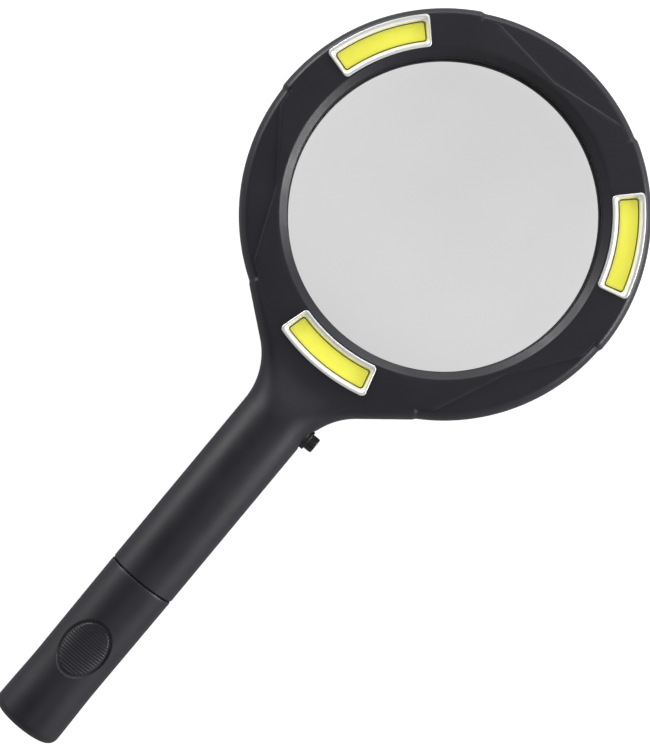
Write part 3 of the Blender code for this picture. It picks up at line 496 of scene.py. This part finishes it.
acrylic, acrylic_shader, _ = finish(
    "clear_acrylic", (0.10, 0.10, 0.10), 0.05, spread=0.01, patch=40.0
)
acrylic_shader.inputs["Alpha"].default_value = 0.19
wear("lens", lens, "head_and_handle", "clear_acrylic", acrylic)

# ---------------------------------------------------------------------------------------------
# Reflectors. Each strip lamp has a bent tray of vacuum-metallised ABS: a raised frame with rounded
# edges, then four walls that slope in to the lamp. It is glued into the ring's window.
# ---------------------------------------------------------------------------------------------

BEZEL_SHAPE = (  # half width, half length, corner radius, height over the middle plane
    (4.30, 14.10, 0.80, 7.04),
    (4.60, 14.40, 1.10, 7.04),
    (4.74, 14.54, 1.24, 7.12),
    (4.75, 14.55, 1.25, 7.36),
    (4.70, 14.50, 1.20, 7.50),
    (4.58, 14.38, 1.12, 7.58),
    (4.42, 14.22, 1.05, 7.61),
    (4.05, 14.09, 1.00, 7.61),
    (3.86, 13.99, 0.98, 7.56),
    (3.68, 13.93, 0.96, 7.42),
    (3.26, 13.56, 0.92, 6.86),
    (2.95, 13.26, 0.86, 6.38),
    (2.91, 13.22, 0.84, 6.20),
    (2.90, 13.21, 0.84, 4.72),
    (3.30, 13.70, 0.84, 4.72),
    (3.60, 14.02, 0.85, 5.00),
    (3.60, 14.02, 0.85, 7.04),
)


def outline(half_width, half_length, corner, height, along=36, across=6, bend=6):
    """A rounded rectangle (u across, v along, z), with points enough to follow the ring's arc."""
    inner_u, inner_v = half_width - corner, half_length - corner
    long_side = np.linspace(-inner_v, inner_v, along)
    short_side = np.linspace(inner_u, -inner_u, across)
    pieces = [np.stack([np.full(along, half_width), long_side], axis=1)]
    pieces.append(arc(inner_u, inner_v, corner, 0, 90, bend)[1:-1])
    pieces.append(np.stack([short_side, np.full(across, half_length)], axis=1))
    pieces.append(arc(-inner_u, inner_v, corner, 90, 180, bend)[1:-1])
    half = np.vstack(pieces)
    flat = np.vstack([half, -half])
    return np.column_stack([flat, np.full(len(flat), height)])


def round_the_ring(points, middle):
    """Bends (u, v, z) about the lens: u is added to the lamp's radius and v runs along its arc."""
    angle = math.radians(middle) + points[..., 1] / LAMP_R
    radius = LAMP_R + points[..., 0]
    return np.stack([radius * np.cos(angle), radius * np.sin(angle), points[..., 2]], axis=-1)


def tray(shape, closed):
    """Points and faces of a stack of outlines: a closed ring, or a solid with a floor and a top."""
    rows = np.array([outline(*row) for row in shape])
    count, around = rows.shape[:2]
    faces = quads(count, around, closed, True).tolist()
    if not closed:
        faces += [list(range(around))[::-1], list(range((count - 1) * around, count * around))]
    return rows, faces


chrome, _, _ = finish(
    "metallised_plastic", (0.96, 0.96, 0.95), 0.22, metallic=0.45, patch=300.0, grain=900.0, depth=0.01
)
for node, middle in LAMPS.items():
    rows, faces = tray(BEZEL_SHAPE, True)
    bezel = solid("bezel_" + node, [(round_the_ring(rows, middle), faces)], sharp=40)
    wear("reflector_" + node, bezel, "head_and_handle", "mirror_chrome", chrome)

# ---------------------------------------------------------------------------------------------
# Lamp strips. Five light-emitting chips on a white aluminium board lie under one bar of yellow
# phosphor silicone, poured and slightly domed. Where it meets the tray a painted shadow lines the gap,
# painted shade dims it towards its edges and it has a painted glow, though the lamp is off.
# ---------------------------------------------------------------------------------------------

STRIP_SHAPE = (
    (2.61, 12.86, 0.71, 4.72),
    (2.76, 13.01, 0.81, 4.78),
    (2.76, 13.01, 0.81, 6.06),
    (2.70, 12.95, 0.78, 6.16),
    (2.54, 12.79, 0.71, 6.23),
    (1.70, 11.95, 0.50, 6.29),
    (0.60, 10.85, 0.30, 6.30),
)
STRIP_SIDE, STRIP_HALF, STRIP_CORNER, _ = STRIP_SHAPE[1]
CHIP_PITCH = 5.0
# Painted shadow: the yellow turns dark over this width at its edge, where the gap to the tray lies in
# shade.
GAP_SHADOW_WIDTH = 0.25
EDGE_SHADE = 1.1
PHOSPHOR_YELLOW = (0.98, 0.95, 0.10)


def lamp_map(thing, middle):
    """Adds UVs in millimetres: u across the strip and v along its arc, both 0 in its middle."""
    mesh = thing.data
    points = np.empty(len(mesh.vertices) * 3)
    mesh.vertices.foreach_get("co", points)
    x, y = ((points.reshape(-1, 3) - CENTRE) / MM).T[:2]
    turn = (np.arctan2(y, x) - math.radians(middle) + np.pi) % (2 * np.pi) - np.pi
    corner = np.empty(len(mesh.loops), int)
    mesh.loops.foreach_get("vertex_index", corner)
    place = np.stack([np.hypot(x, y) - LAMP_R, turn * LAMP_R], axis=1)[corner]
    mesh.uv_layers.new(name="strip").data.foreach_set("uv", place.ravel())


phosphor, phosphor_shader, phosphor_place = finish(
    "yellow_phosphor_silicone", PHOSPHOR_YELLOW, 0.42, spread=0.05, patch=400.0, grain=1500.0
)
lamp_uv = phosphor_place.node("ShaderNodeUVMap", {}, uv_map="strip")
across_strip = lamp_uv.node("ShaderNodeSeparateXYZ", {"Vector": lamp_uv}, 0)
along_strip = lamp_uv.node("ShaderNodeSeparateXYZ", {"Vector": lamp_uv}, 1)
from_chip = along_strip.maths("PINGPONG", along_strip + 2 * CHIP_PITCH, CHIP_PITCH / 2)
chip_r = from_chip.maths("POWER", from_chip * from_chip + across_strip * across_strip, 0.5)
chip = chip_r.between(0.25, 0.75, 0.4)
past_u = across_strip.maths("ABSOLUTE", across_strip) - (STRIP_SIDE - STRIP_CORNER)
past_v = along_strip.maths("ABSOLUTE", along_strip) - (STRIP_HALF - STRIP_CORNER)
in_u, in_v = past_u.maths("MAXIMUM", past_u, 0.0), past_v.maths("MAXIMUM", past_v, 0.0)
corner_r = past_u.maths("POWER", in_u * in_u + in_v * in_v, 0.5)
straight = past_u.maths("MAXIMUM", past_u, past_v)
to_edge = STRIP_CORNER - corner_r - straight.maths("MINIMUM", straight, 0.0)
# Painted shadow along the gap at the tray's edge, and painted shade that dims the yellow by a tenth towards
# its edges.
painted_shade_mask = to_edge.between(0.04, GAP_SHADOW_WIDTH) * to_edge.between(0.0, EDGE_SHADE, 0.9)
yellow = painted_shade_mask * (1 - (1 - chip) * 0.35)
tint(phosphor_shader, phosphor_place, (0.10, 0.09, 0.01), PHOSPHOR_YELLOW, yellow)
# Painted glow: the phosphor emits light though the lamp is off, fading out into the painted shadow at its
# edge.
tint(phosphor_shader, phosphor_place, (0.0, 0.0, 0.0), PHOSPHOR_YELLOW, painted_shade_mask, "Emission Color")
phosphor_shader.inputs["Emission Strength"].default_value = 0.26
for node, middle in LAMPS.items():
    rows, faces = tray(STRIP_SHAPE, False)
    strip = solid("strip_" + node, [(round_the_ring(rows, middle), faces)], sharp=60)
    lamp_map(strip, middle)
    wear("led_strip_" + node, strip, "head_and_handle", "yellow_phosphor", phosphor)

# ---------------------------------------------------------------------------------------------
# Lamp boards. Aluminium-cored boards with white solder mask, one under each tray, screened with a
# slightly uneven white.
# ---------------------------------------------------------------------------------------------


def dress(nodes, made):
    """Gives these CAD nodes a better material and leaves their shapes alone."""
    for node in nodes:
        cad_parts[node].material_slots[0].material = made


white_mask, white_shader, white_place = finish("white_solder_mask", (0.82, 0.82, 0.80), 0.38, patch=500.0)
tint(white_shader, white_place, (0.76, 0.76, 0.73), (0.86, 0.86, 0.84), white_place.noise(700.0, 3.0))
dress(["led_board_" + node for node in LAMPS], white_mask)

# ---------------------------------------------------------------------------------------------
# Screws. Five zinc-plated pan-head screws, cold-headed and thread-rolled, driven in from the back
# with a crossed driver. Each head sits at the bottom of its recess.
# ---------------------------------------------------------------------------------------------

HEAD_LOW = -6.7
HEAD_TOP = -5.3
SHANK_TIP = 3.4
SHANK_R, THREAD_ROOT_R = 0.9, 0.68
THREAD_PITCH = 0.7

zinc, _, _ = finish(
    "zinc_plated_steel", (0.62, 0.62, 0.60), 0.28, metallic=1.0,
    spread=0.06, patch=800.0, grain=3000.0, depth=0.006
)
thread = []
for crest in np.arange(-4.4, 2.2, THREAD_PITCH):
    thread += [(SHANK_R, crest), (THREAD_ROOT_R, crest + 0.3), (THREAD_ROOT_R, crest + 0.4)]
    thread += [(SHANK_R, crest + THREAD_PITCH)]
dome = [(0, 0), (0.8, 0.01), (1.4, 0.09), (1.8, 0.26), (2.02, 0.55), (2.1, 0.85)]
head = [(r, HEAD_LOW + rise) for r, rise in dome]
head += [(2.1, HEAD_TOP - 0.08), (2.02, HEAD_TOP), (SHANK_R, HEAD_TOP)]
screw_profile = head + thread + [(SHANK_R, 2.6), (0, SHANK_TIP)]


def cross_arm(half_x, half_y, x, y):
    """One arm of the driver's cross: an oblong well that narrows to seven tenths at its floor."""
    corners = np.array([(1, 1), (-1, 1), (-1, -1), (1, -1)]) * [half_x, half_y]
    wells = ((1.0, HEAD_LOW - 0.5), (1.0, HEAD_LOW + 0.1), (0.7, HEAD_LOW + 0.8))
    points = np.array([np.column_stack([corners * size, np.full(4, z)]) for size, z in wells])
    faces = quads(3, 4, False, True).tolist() + [[3, 2, 1, 0], [8, 9, 10, 11]]
    return solid("arm", [(points + [x, y, 0], faces)])


for number, (x, y) in enumerate(SCREW_PLACES, 1):
    points, faces = turned(screw_profile, 36)
    screw = solid(f"crosshead_screw_{number}", [(points + [x, y, 0], faces)])
    arms = [cross_arm(*halves, x, y) for halves in ((1.3, 0.25), (0.25, 1.3))]
    wear(f"screw_{number}", carved(screw, arms), "head_and_handle", "steel", zinc)

# ---------------------------------------------------------------------------------------------
# Push button and collar. Two small gloss-black turned mouldings of the bought-in switch. The collar
# clamps in the wall of the handle and the button slides in it, with a shallow dish in its end.
# ---------------------------------------------------------------------------------------------

BUTTON_END = 14.1

gloss_black, _, _ = finish(
    "satin_black_nylon", (0.008, 0.008, 0.009), 0.30, spread=0.05, patch=400.0, grain=4000.0, depth=0.004
)
collar_rows = [(2.7, 7.05), (2.85, 6.9), (4.2, 6.9), (4.2, 7.6), (3.6, 7.6), (3.6, 10.2)]
collar_rows += [(3.5, 10.35), (3.1, 10.4), (3.1, 11.36), (3.06, 11.5), (2.98, 11.58), (2.9, 11.6)]
collar_rows += [(2.8, 11.58), (2.72, 11.5), (2.7, 11.4)]
button_rows = [(0, 5.9), (3.0, 5.9), (3.1, 6.0), (3.1, 6.5), (3.0, 6.6), (2.4, 6.6)]
button_rows += arc(1.85, BUTTON_END - 0.55, 0.55, 0, 90, 8).tolist()
button_dish = [(1.6, 0.03), (1.2, 0.12), (0.6, 0.19), (0, 0.21)]
button_rows += [(r, BUTTON_END - sink) for r, sink in button_dish]
switch_pieces = {"button_collar": (collar_rows, "head_and_handle"), "push_button": (button_rows, "button")}
for node, (rows, body) in switch_pieces.items():
    points, faces = turned(rows, 64, "x")
    turned_piece = solid(node + "_moulding", [(points + [0, -BUTTON_S, 0], faces)], sharp=40)
    wear(node, turned_piece, body, "button_black", gloss_black)

# ---------------------------------------------------------------------------------------------
# Switch, board and resistor. A bought-in grey thermoplastic push switch with a moulded plunger and
# a wound steel return spring, soldered to a small green glass-fibre board with one black resistor.
# ---------------------------------------------------------------------------------------------

grey_plastic, _, _ = finish(
    "grey_switch_plastic", (0.11, 0.11, 0.12), 0.46, spread=0.05, patch=300.0, grain=3500.0, depth=0.006
)
dress(["switch_body", "switch_plunger", "contact_holder"], grey_plastic)
dress(["switch_spring"], zinc)
dress(["resistor"], gloss_black)

green_mask, green_shader, green_place = finish("green_solder_mask", (0.012, 0.15, 0.07), 0.26, patch=300.0)
weave = green_place.node("ShaderNodeTexWave", {"Vector": green_place, "Scale": 400.0, "Distortion": 1.5}, 1)
tint(green_shader, green_place, (0.010, 0.12, 0.055), (0.016, 0.18, 0.085), weave)
dress(["circuit_board"], green_mask)

# ---------------------------------------------------------------------------------------------
# Cell tube and contacts. An extruded grey liner tube with a groove for the shells' rib and a slot
# for the return strip, and contacts stamped from brass sheet.
# ---------------------------------------------------------------------------------------------

TUBE_R = 8.8
TUBE_BORE = 7.6
TUBE_FROM, TUBE_TO = 82.3, 150.3
TUBE_EDGE = 0.3
RIB_FROM, RIB_TO = 99.9, 103.0
RIB_GROOVE_R = TUBE_R - 0.6
SLOT_HALF, SLOT_FLOOR = 1.8, -8.2

tube_rows = [(TUBE_BORE, TUBE_FROM), (TUBE_R, TUBE_FROM), (TUBE_R, RIB_FROM), (RIB_GROOVE_R, RIB_FROM)]
tube_rows += [(RIB_GROOVE_R, RIB_TO), (TUBE_R, RIB_TO), (TUBE_R, TUBE_TO - TUBE_EDGE)]
tube_rows += [(TUBE_R - TUBE_EDGE, TUBE_TO), (TUBE_BORE + TUBE_EDGE, TUBE_TO)]
tube_rows += [(TUBE_BORE, TUBE_TO - TUBE_EDGE)]


def block(x, s, z):
    """A box from its ranges across the handle, along it from the lens and up."""
    corners = [(x[0], -s[0]), (x[1], -s[0]), (x[1], -s[1]), (x[0], -s[1])]
    points = np.array([[(*corner, level) for corner in corners] for level in z])
    return points, [[3, 2, 1, 0], [4, 5, 6, 7]] + quads(2, 4, False, True).tolist()


slot_x = (-SLOT_HALF, SLOT_HALF)
tube_slot = solid("slot", [block(slot_x, (TUBE_FROM - 1, TUBE_TO + 1), (SLOT_FLOOR, 0.0))])
tube = carved(solid("liner_tube", [turned(tube_rows, 96, "s")]), [tube_slot])
wear("battery_tube", tube, "head_and_handle", "liner_grey", grey_plastic)

brass, brass_shader, brass_place = finish(
    "stamped_brass", (0.72, 0.50, 0.20), 0.26, metallic=1.0,
    spread=0.08, patch=250.0, grain=2500.0, depth=0.006
)
tarnish = brass_place.noise(180.0, 4.0).between(0.45, 0.75)
tint(brass_shader, brass_place, (0.74, 0.52, 0.21), (0.50, 0.34, 0.15), tarnish)
dress(["positive_contact", "contact_strip", "tail_contact", "cap_strip"], brass)

# ---------------------------------------------------------------------------------------------
# Cells. Two standard AA cells in line: a deep-drawn steel can in a shrunk plastic sleeve that rolls
# over both ends, with a pressed nub at the front end and a plain plated disc at the rear.
# ---------------------------------------------------------------------------------------------

CELL_R = 7.25
CELL_LENGTH = 50.5
CELL_STARTS = {"front_cell": 82.925, "rear_cell": 133.725}
CELL_STEP = CELL_STARTS["rear_cell"] - CELL_STARTS["front_cell"]
SLEEVE_INNER_R = 6.2
BAND_END = 12.0

sleeve, sleeve_shader, sleeve_place = finish(
    "shrunk_cell_sleeve", (0.30, 0.31, 0.34), 0.24, spread=0.05, patch=120.0
)
nub_rows = [(0, 0), (2.5, 0), (2.68, 0.07), (2.75, 0.25), (2.75, 1.15), (2.95, 1.2), (5.9, 1.2)]
front_roll = [(6.0, 1.02), (6.3, 1.02), (6.9, 1.2), (CELL_R - 0.1, 1.45), (CELL_R, 1.8)]
rear_roll = [(CELL_R, 0.8), (CELL_R - 0.1, 0.5), (6.9, 0.25), (6.4, 0.18), (6.15, 0.2)]
rear_disc = [(6.0, 0.4), (5.2, 0.4), (4.9, 0), (0, 0)]
cell_rows = nub_rows + front_roll + [(r, CELL_LENGTH - rise) for r, rise in rear_roll + rear_disc]
for node, start in CELL_STARTS.items():
    cell = solid("aa_" + node, [turned(np.array(cell_rows) + [0, start], 80, "s")])
    centres = np.empty(len(cell.data.polygons) * 3)
    cell.data.polygons.foreach_get("center", centres)
    x, _, z = ((centres.reshape(-1, 3) - CENTRE) / MM).T
    bare = np.hypot(x, z) < SLEEVE_INNER_R
    cell.data.polygons.foreach_set("material_index", bare.astype(np.int32))
    wear(node, cell, "head_and_handle", "cell_wrap", sleeve, zinc)
sleeve_y = sleeve_place.node("ShaderNodeSeparateXYZ", {"Vector": sleeve_place}, 1)
along_cells = (sleeve_y - (CENTRE[1] - CELL_STARTS["front_cell"] * MM)) * (-1 / MM)
stripe = along_cells.maths("MODULO", along_cells, CELL_STEP).between(BAND_END - 0.4, BAND_END)
tint(sleeve_shader, sleeve_place, (0.62, 0.33, 0.10), (0.05, 0.055, 0.065), stripe)

# ---------------------------------------------------------------------------------------------
# Tail spring. A conical compression spring, cold-coiled from plated spring wire, that stands on
# the contact plate at the bottom of the cap and presses on the rear cell.
# ---------------------------------------------------------------------------------------------

SPRING_WIRE = 0.4
SPRING_TURNS = 3.25
SPRING_R = (2.6, 5.5)
SPRING_FROM, SPRING_TO = 184.925, 187.925
WIRE_STEPS, WIRE_SIDES = 241, 16

# A circle of the wire's radius, carried along a cone's helix.
spring_share = np.linspace(0, 1, WIRE_STEPS)[:, None]
coil_angle = 2 * np.pi * SPRING_TURNS * spring_share
round_wire = np.linspace(0, 2 * np.pi, WIRE_SIDES, endpoint=False)
wire_r = mix(*SPRING_R, spring_share) + SPRING_WIRE * np.cos(round_wire)
wire_s = mix(SPRING_FROM, SPRING_TO, spring_share) + SPRING_WIRE * np.sin(round_wire)
coil = np.stack([wire_r * np.cos(coil_angle), -wire_s, wire_r * np.sin(coil_angle)], axis=-1)
wire_end = np.arange(WIRE_SIDES)
coil_faces = quads(WIRE_STEPS, WIRE_SIDES, False, True).tolist()
coil_faces += [wire_end[::-1].tolist(), (wire_end + (WIRE_STEPS - 1) * WIRE_SIDES).tolist()]
wear("tail_spring", solid("conical_spring", [(coil, coil_faces)], sharp=60), "cap", "steel", zinc)

# ---------------------------------------------------------------------------------------------
# Battery cap. The rear half of the handle, one moulding of the same black ABS. It narrows to a
# waist, flares to a rounded end and has a ribbed oval thumb grip sunk in its top. It slips over the
# liner tube.
# ---------------------------------------------------------------------------------------------

CAP_MOUTH = 136.97
CAP_END = 191.02
CAP_WAIST_R, CAP_WAIST_S = 10.4, 171.0
CAP_FLARE_R, CAP_FLARE_S = 10.7, 188.3
CAP_EDGE = 2.7
CAP_FLOOR = 189.3
CAP_STEP = 150.6
CAP_MOUTH_R, CAP_BORE_R = 9.1, 7.7
GRIP_S = 161.62
GRIP_HALF_LONG, GRIP_HALF_WIDE = 9.3, 7.2
GRIP_TURN = 46
GRIP_SINK = 0.65
PAD_SINK = 0.25
PAD_DISH = 0.7
RIB_DEPTH = 0.14
RIB_PITCH = 0.86


def grip_depth(x, s):
    """How deep the grip is sunk: a groove round an oval pad that is ribbed across the handle.

    With e the oval radius (1 on the rim) and d = 7.2 (1 - e) mm inside it, the wall drops over the
    first 0.4 mm, the groove's floor runs to 0.75 mm, and the pad rises over the next 0.35 mm. The
    pad is a dish, deepest in the middle."""
    e = np.hypot((s - GRIP_S) / GRIP_HALF_LONG, x / GRIP_HALF_WIDE)
    d = GRIP_HALF_WIDE * (1 - e)
    on_pad = ease((d - 0.75) / 0.35)
    ribs = RIB_DEPTH * (0.5 - 0.5 * np.cos(2 * np.pi * (s - GRIP_S) / RIB_PITCH))
    pad = PAD_SINK + PAD_DISH * np.clip(1 - e**2, 0, 1) + ribs
    return GRIP_SINK * ease(d / 0.4) * (1 - on_pad) + pad * on_pad


# The cap's section is turned round the handle, in finer steps over the grip, which is sunk in it.
grip_turns = np.linspace(-GRIP_TURN, GRIP_TURN, 141)
other_turns = np.linspace(GRIP_TURN, 360 - GRIP_TURN, 95)[1:-1]
cap_turn = np.radians(np.concatenate([grip_turns, other_turns]))[:, None]
before_grip = np.linspace(CAP_MOUTH + 0.45, 151.8, 22)
along_grip = np.arange(152.0, 171.4, 0.12)
after_grip = np.linspace(171.8, CAP_FLARE_S, 28)
straight = np.concatenate([before_grip, along_grip, after_grip])
taper = mix(HANDLE_R, CAP_WAIST_R, (straight - CAP_MOUTH) / (CAP_WAIST_S - CAP_MOUTH))
flare_share = (straight - CAP_WAIST_S) / (CAP_FLARE_S - CAP_WAIST_S)
flare = mix(CAP_WAIST_R, CAP_FLARE_R, ease(flare_share))
body_rows = np.stack([np.where(straight < CAP_WAIST_S, taper, flare), straight], axis=1)
mouth_rows = [(CAP_MOUTH_R, CAP_MOUTH + 0.3), (CAP_MOUTH_R + 0.3, CAP_MOUTH)]
mouth_rows += [(HANDLE_R - 0.38, CAP_MOUTH), (HANDLE_R - 0.14, CAP_MOUTH + 0.09)]
mouth_rows += [(HANDLE_R - 0.03, CAP_MOUTH + 0.25)]
end_rows = arc(CAP_FLARE_R - CAP_EDGE, CAP_FLARE_S, CAP_EDGE, 0, 90, 14)[1:]
end_rows = np.vstack([end_rows, [(5.0, CAP_END), (0, CAP_END)]])
bore_rows = [(0, CAP_FLOOR), (CAP_BORE_R, CAP_FLOOR), (CAP_BORE_R, CAP_STEP), (CAP_MOUTH_R, CAP_STEP)]
cap_rows = np.vstack([mouth_rows, body_rows, end_rows, bore_rows])
r = np.broadcast_to(cap_rows[:, 0], (len(cap_turn), len(cap_rows)))
s = np.broadcast_to(cap_rows[:, 1], r.shape)
row_number = np.arange(len(cap_rows)) - len(mouth_rows)
on_top = (np.cos(cap_turn) > 0) & (row_number >= 0) & (row_number < len(straight))
r = r - np.where(on_top, grip_depth(r * np.sin(cap_turn), s), 0.0)
cap_points = np.stack([r * np.sin(cap_turn), -s, r * np.cos(cap_turn)], axis=-1)
cap = solid("tail_cap", [(cap_points, quads(*r.shape, True, True))])
cap_slot = solid("slot", [block(slot_x, (CAP_STEP - 1, CAP_FLOOR), (SLOT_FLOOR, -5.0))])
wear("battery_cap", carved(cap, [cap_slot]), "cap", "black_plastic", black_plastic)

# ---------------------------------------------------------------------------------------------
# Leads. Stranded wire in soft PVC, red to the nearest lamp and on to the right one and black to the
# left, laid in the channel of the ring.
# ---------------------------------------------------------------------------------------------

red_pvc, _, _ = finish("red_pvc", (0.55, 0.02, 0.02), 0.40, spread=0.05, patch=500.0)
black_pvc, _, _ = finish("black_pvc", (0.015, 0.015, 0.016), 0.40, spread=0.05, patch=500.0)
dress(["lamp_lead", "right_lead"], red_pvc)
dress(["left_lead"], black_pvc)

# ---------------------------------------------------------------------------------------------
# Floor, lights and camera. A seamless white studio sweep, low softboxes round the object and weaker
# ones above, and a camera nearly straight above, turned so that the handle runs to the lower left.
# ---------------------------------------------------------------------------------------------


def area_light(name, direction, distance, size, power):
    """A softbox, of this width and height, that looks at the lens from a direction."""
    light = bpy.data.objects.new(name, bpy.data.lights.new(name, "AREA"))
    light.data.shape, light.data.energy = "RECTANGLE", power
    light.data.size, light.data.size_y = size
    away = Vector(direction).normalized()
    light.location = Vector(CENTRE) + away * distance
    light.rotation_euler = away.to_track_quat("Z", "Y").to_euler()
    bpy.context.scene.collection.objects.link(light)


area_light("softbox_button_side", (0.908, 0.418, 0.22), 1.1, (0.9, 0.4), 14.0)
area_light("softbox_far_side", (-0.965, 0.264, 0.26), 1.1, (0.8, 0.4), 9.5)
area_light("softbox_head_side", (-0.259, 0.966, 0.22), 1.1, (0.9, 0.4), 4.5)
area_light("softbox_above", (0.35, -0.35, 1.0), 1.3, (0.7, 0.7), 1.0)
area_light("softbox_over_head", (0.0, 0.42, 1.0), 1.3, (0.6, 0.6), 0.95)

world = bpy.data.worlds.new("studio")
world.use_nodes = True
sky = world.node_tree.nodes["Background"]
sky_texture = world.node_tree.nodes.new("ShaderNodeTexCoord")
sky_place = Wire(world.node_tree, sky_texture.outputs["Generated"])
height = sky_place.node("ShaderNodeSeparateXYZ", {"Vector": sky_place}, 2)
brightness = height.between(0.1, 0.95, 0.62, 0.12)
world.node_tree.links.new(brightness.socket, sky.inputs["Color"])
bpy.context.scene.world = world

floor_material = bpy.data.materials.new("studio_floor")
floor_material.use_nodes = True
floor_shader = floor_material.node_tree.nodes["Principled BSDF"]
floor_shader.inputs["Base Color"].default_value = (0.55, 0.55, 0.55, 1.0)
floor_shader.inputs["Roughness"].default_value = 0.9
floor_shader.inputs["Emission Strength"].default_value = 0.82
light_path = floor_material.node_tree.nodes.new("ShaderNodeLightPath")
seen = Wire(floor_material.node_tree, light_path.outputs["Is Camera Ray"])
tint(floor_shader, seen, (0.0, 0.0, 0.0), (1.0, 1.0, 1.0), seen, "Emission Color")
floor_mesh = bpy.data.meshes.new("floor")
floor_reach, floor_z = 30.0, -0.0006
corners = [(x * floor_reach, y * floor_reach, floor_z) for x, y in ((-1, -1), (1, -1), (1, 1), (-1, 1))]
floor_mesh.from_pydata(corners, [], [(0, 1, 2, 3)])
floor_mesh.materials.append(floor_material)
floor = bpy.data.objects.new("floor", floor_mesh)
bpy.context.scene.collection.objects.link(floor)

camera = bpy.data.objects.new("camera", bpy.data.cameras.new("camera"))
camera.data.lens = 101.2
camera.data.sensor_width = 36.0
camera.data.shift_x, camera.data.shift_y = -0.0008, 0.0016
camera.location = Vector(CENTRE) + Vector((0.00335, -0.0577, 0.611))
camera.rotation_euler = (0.0, 0.0, math.radians(39.7))
bpy.context.scene.collection.objects.link(camera)
bpy.context.scene.camera = camera
bpy.context.scene.view_settings.view_transform = "Standard"
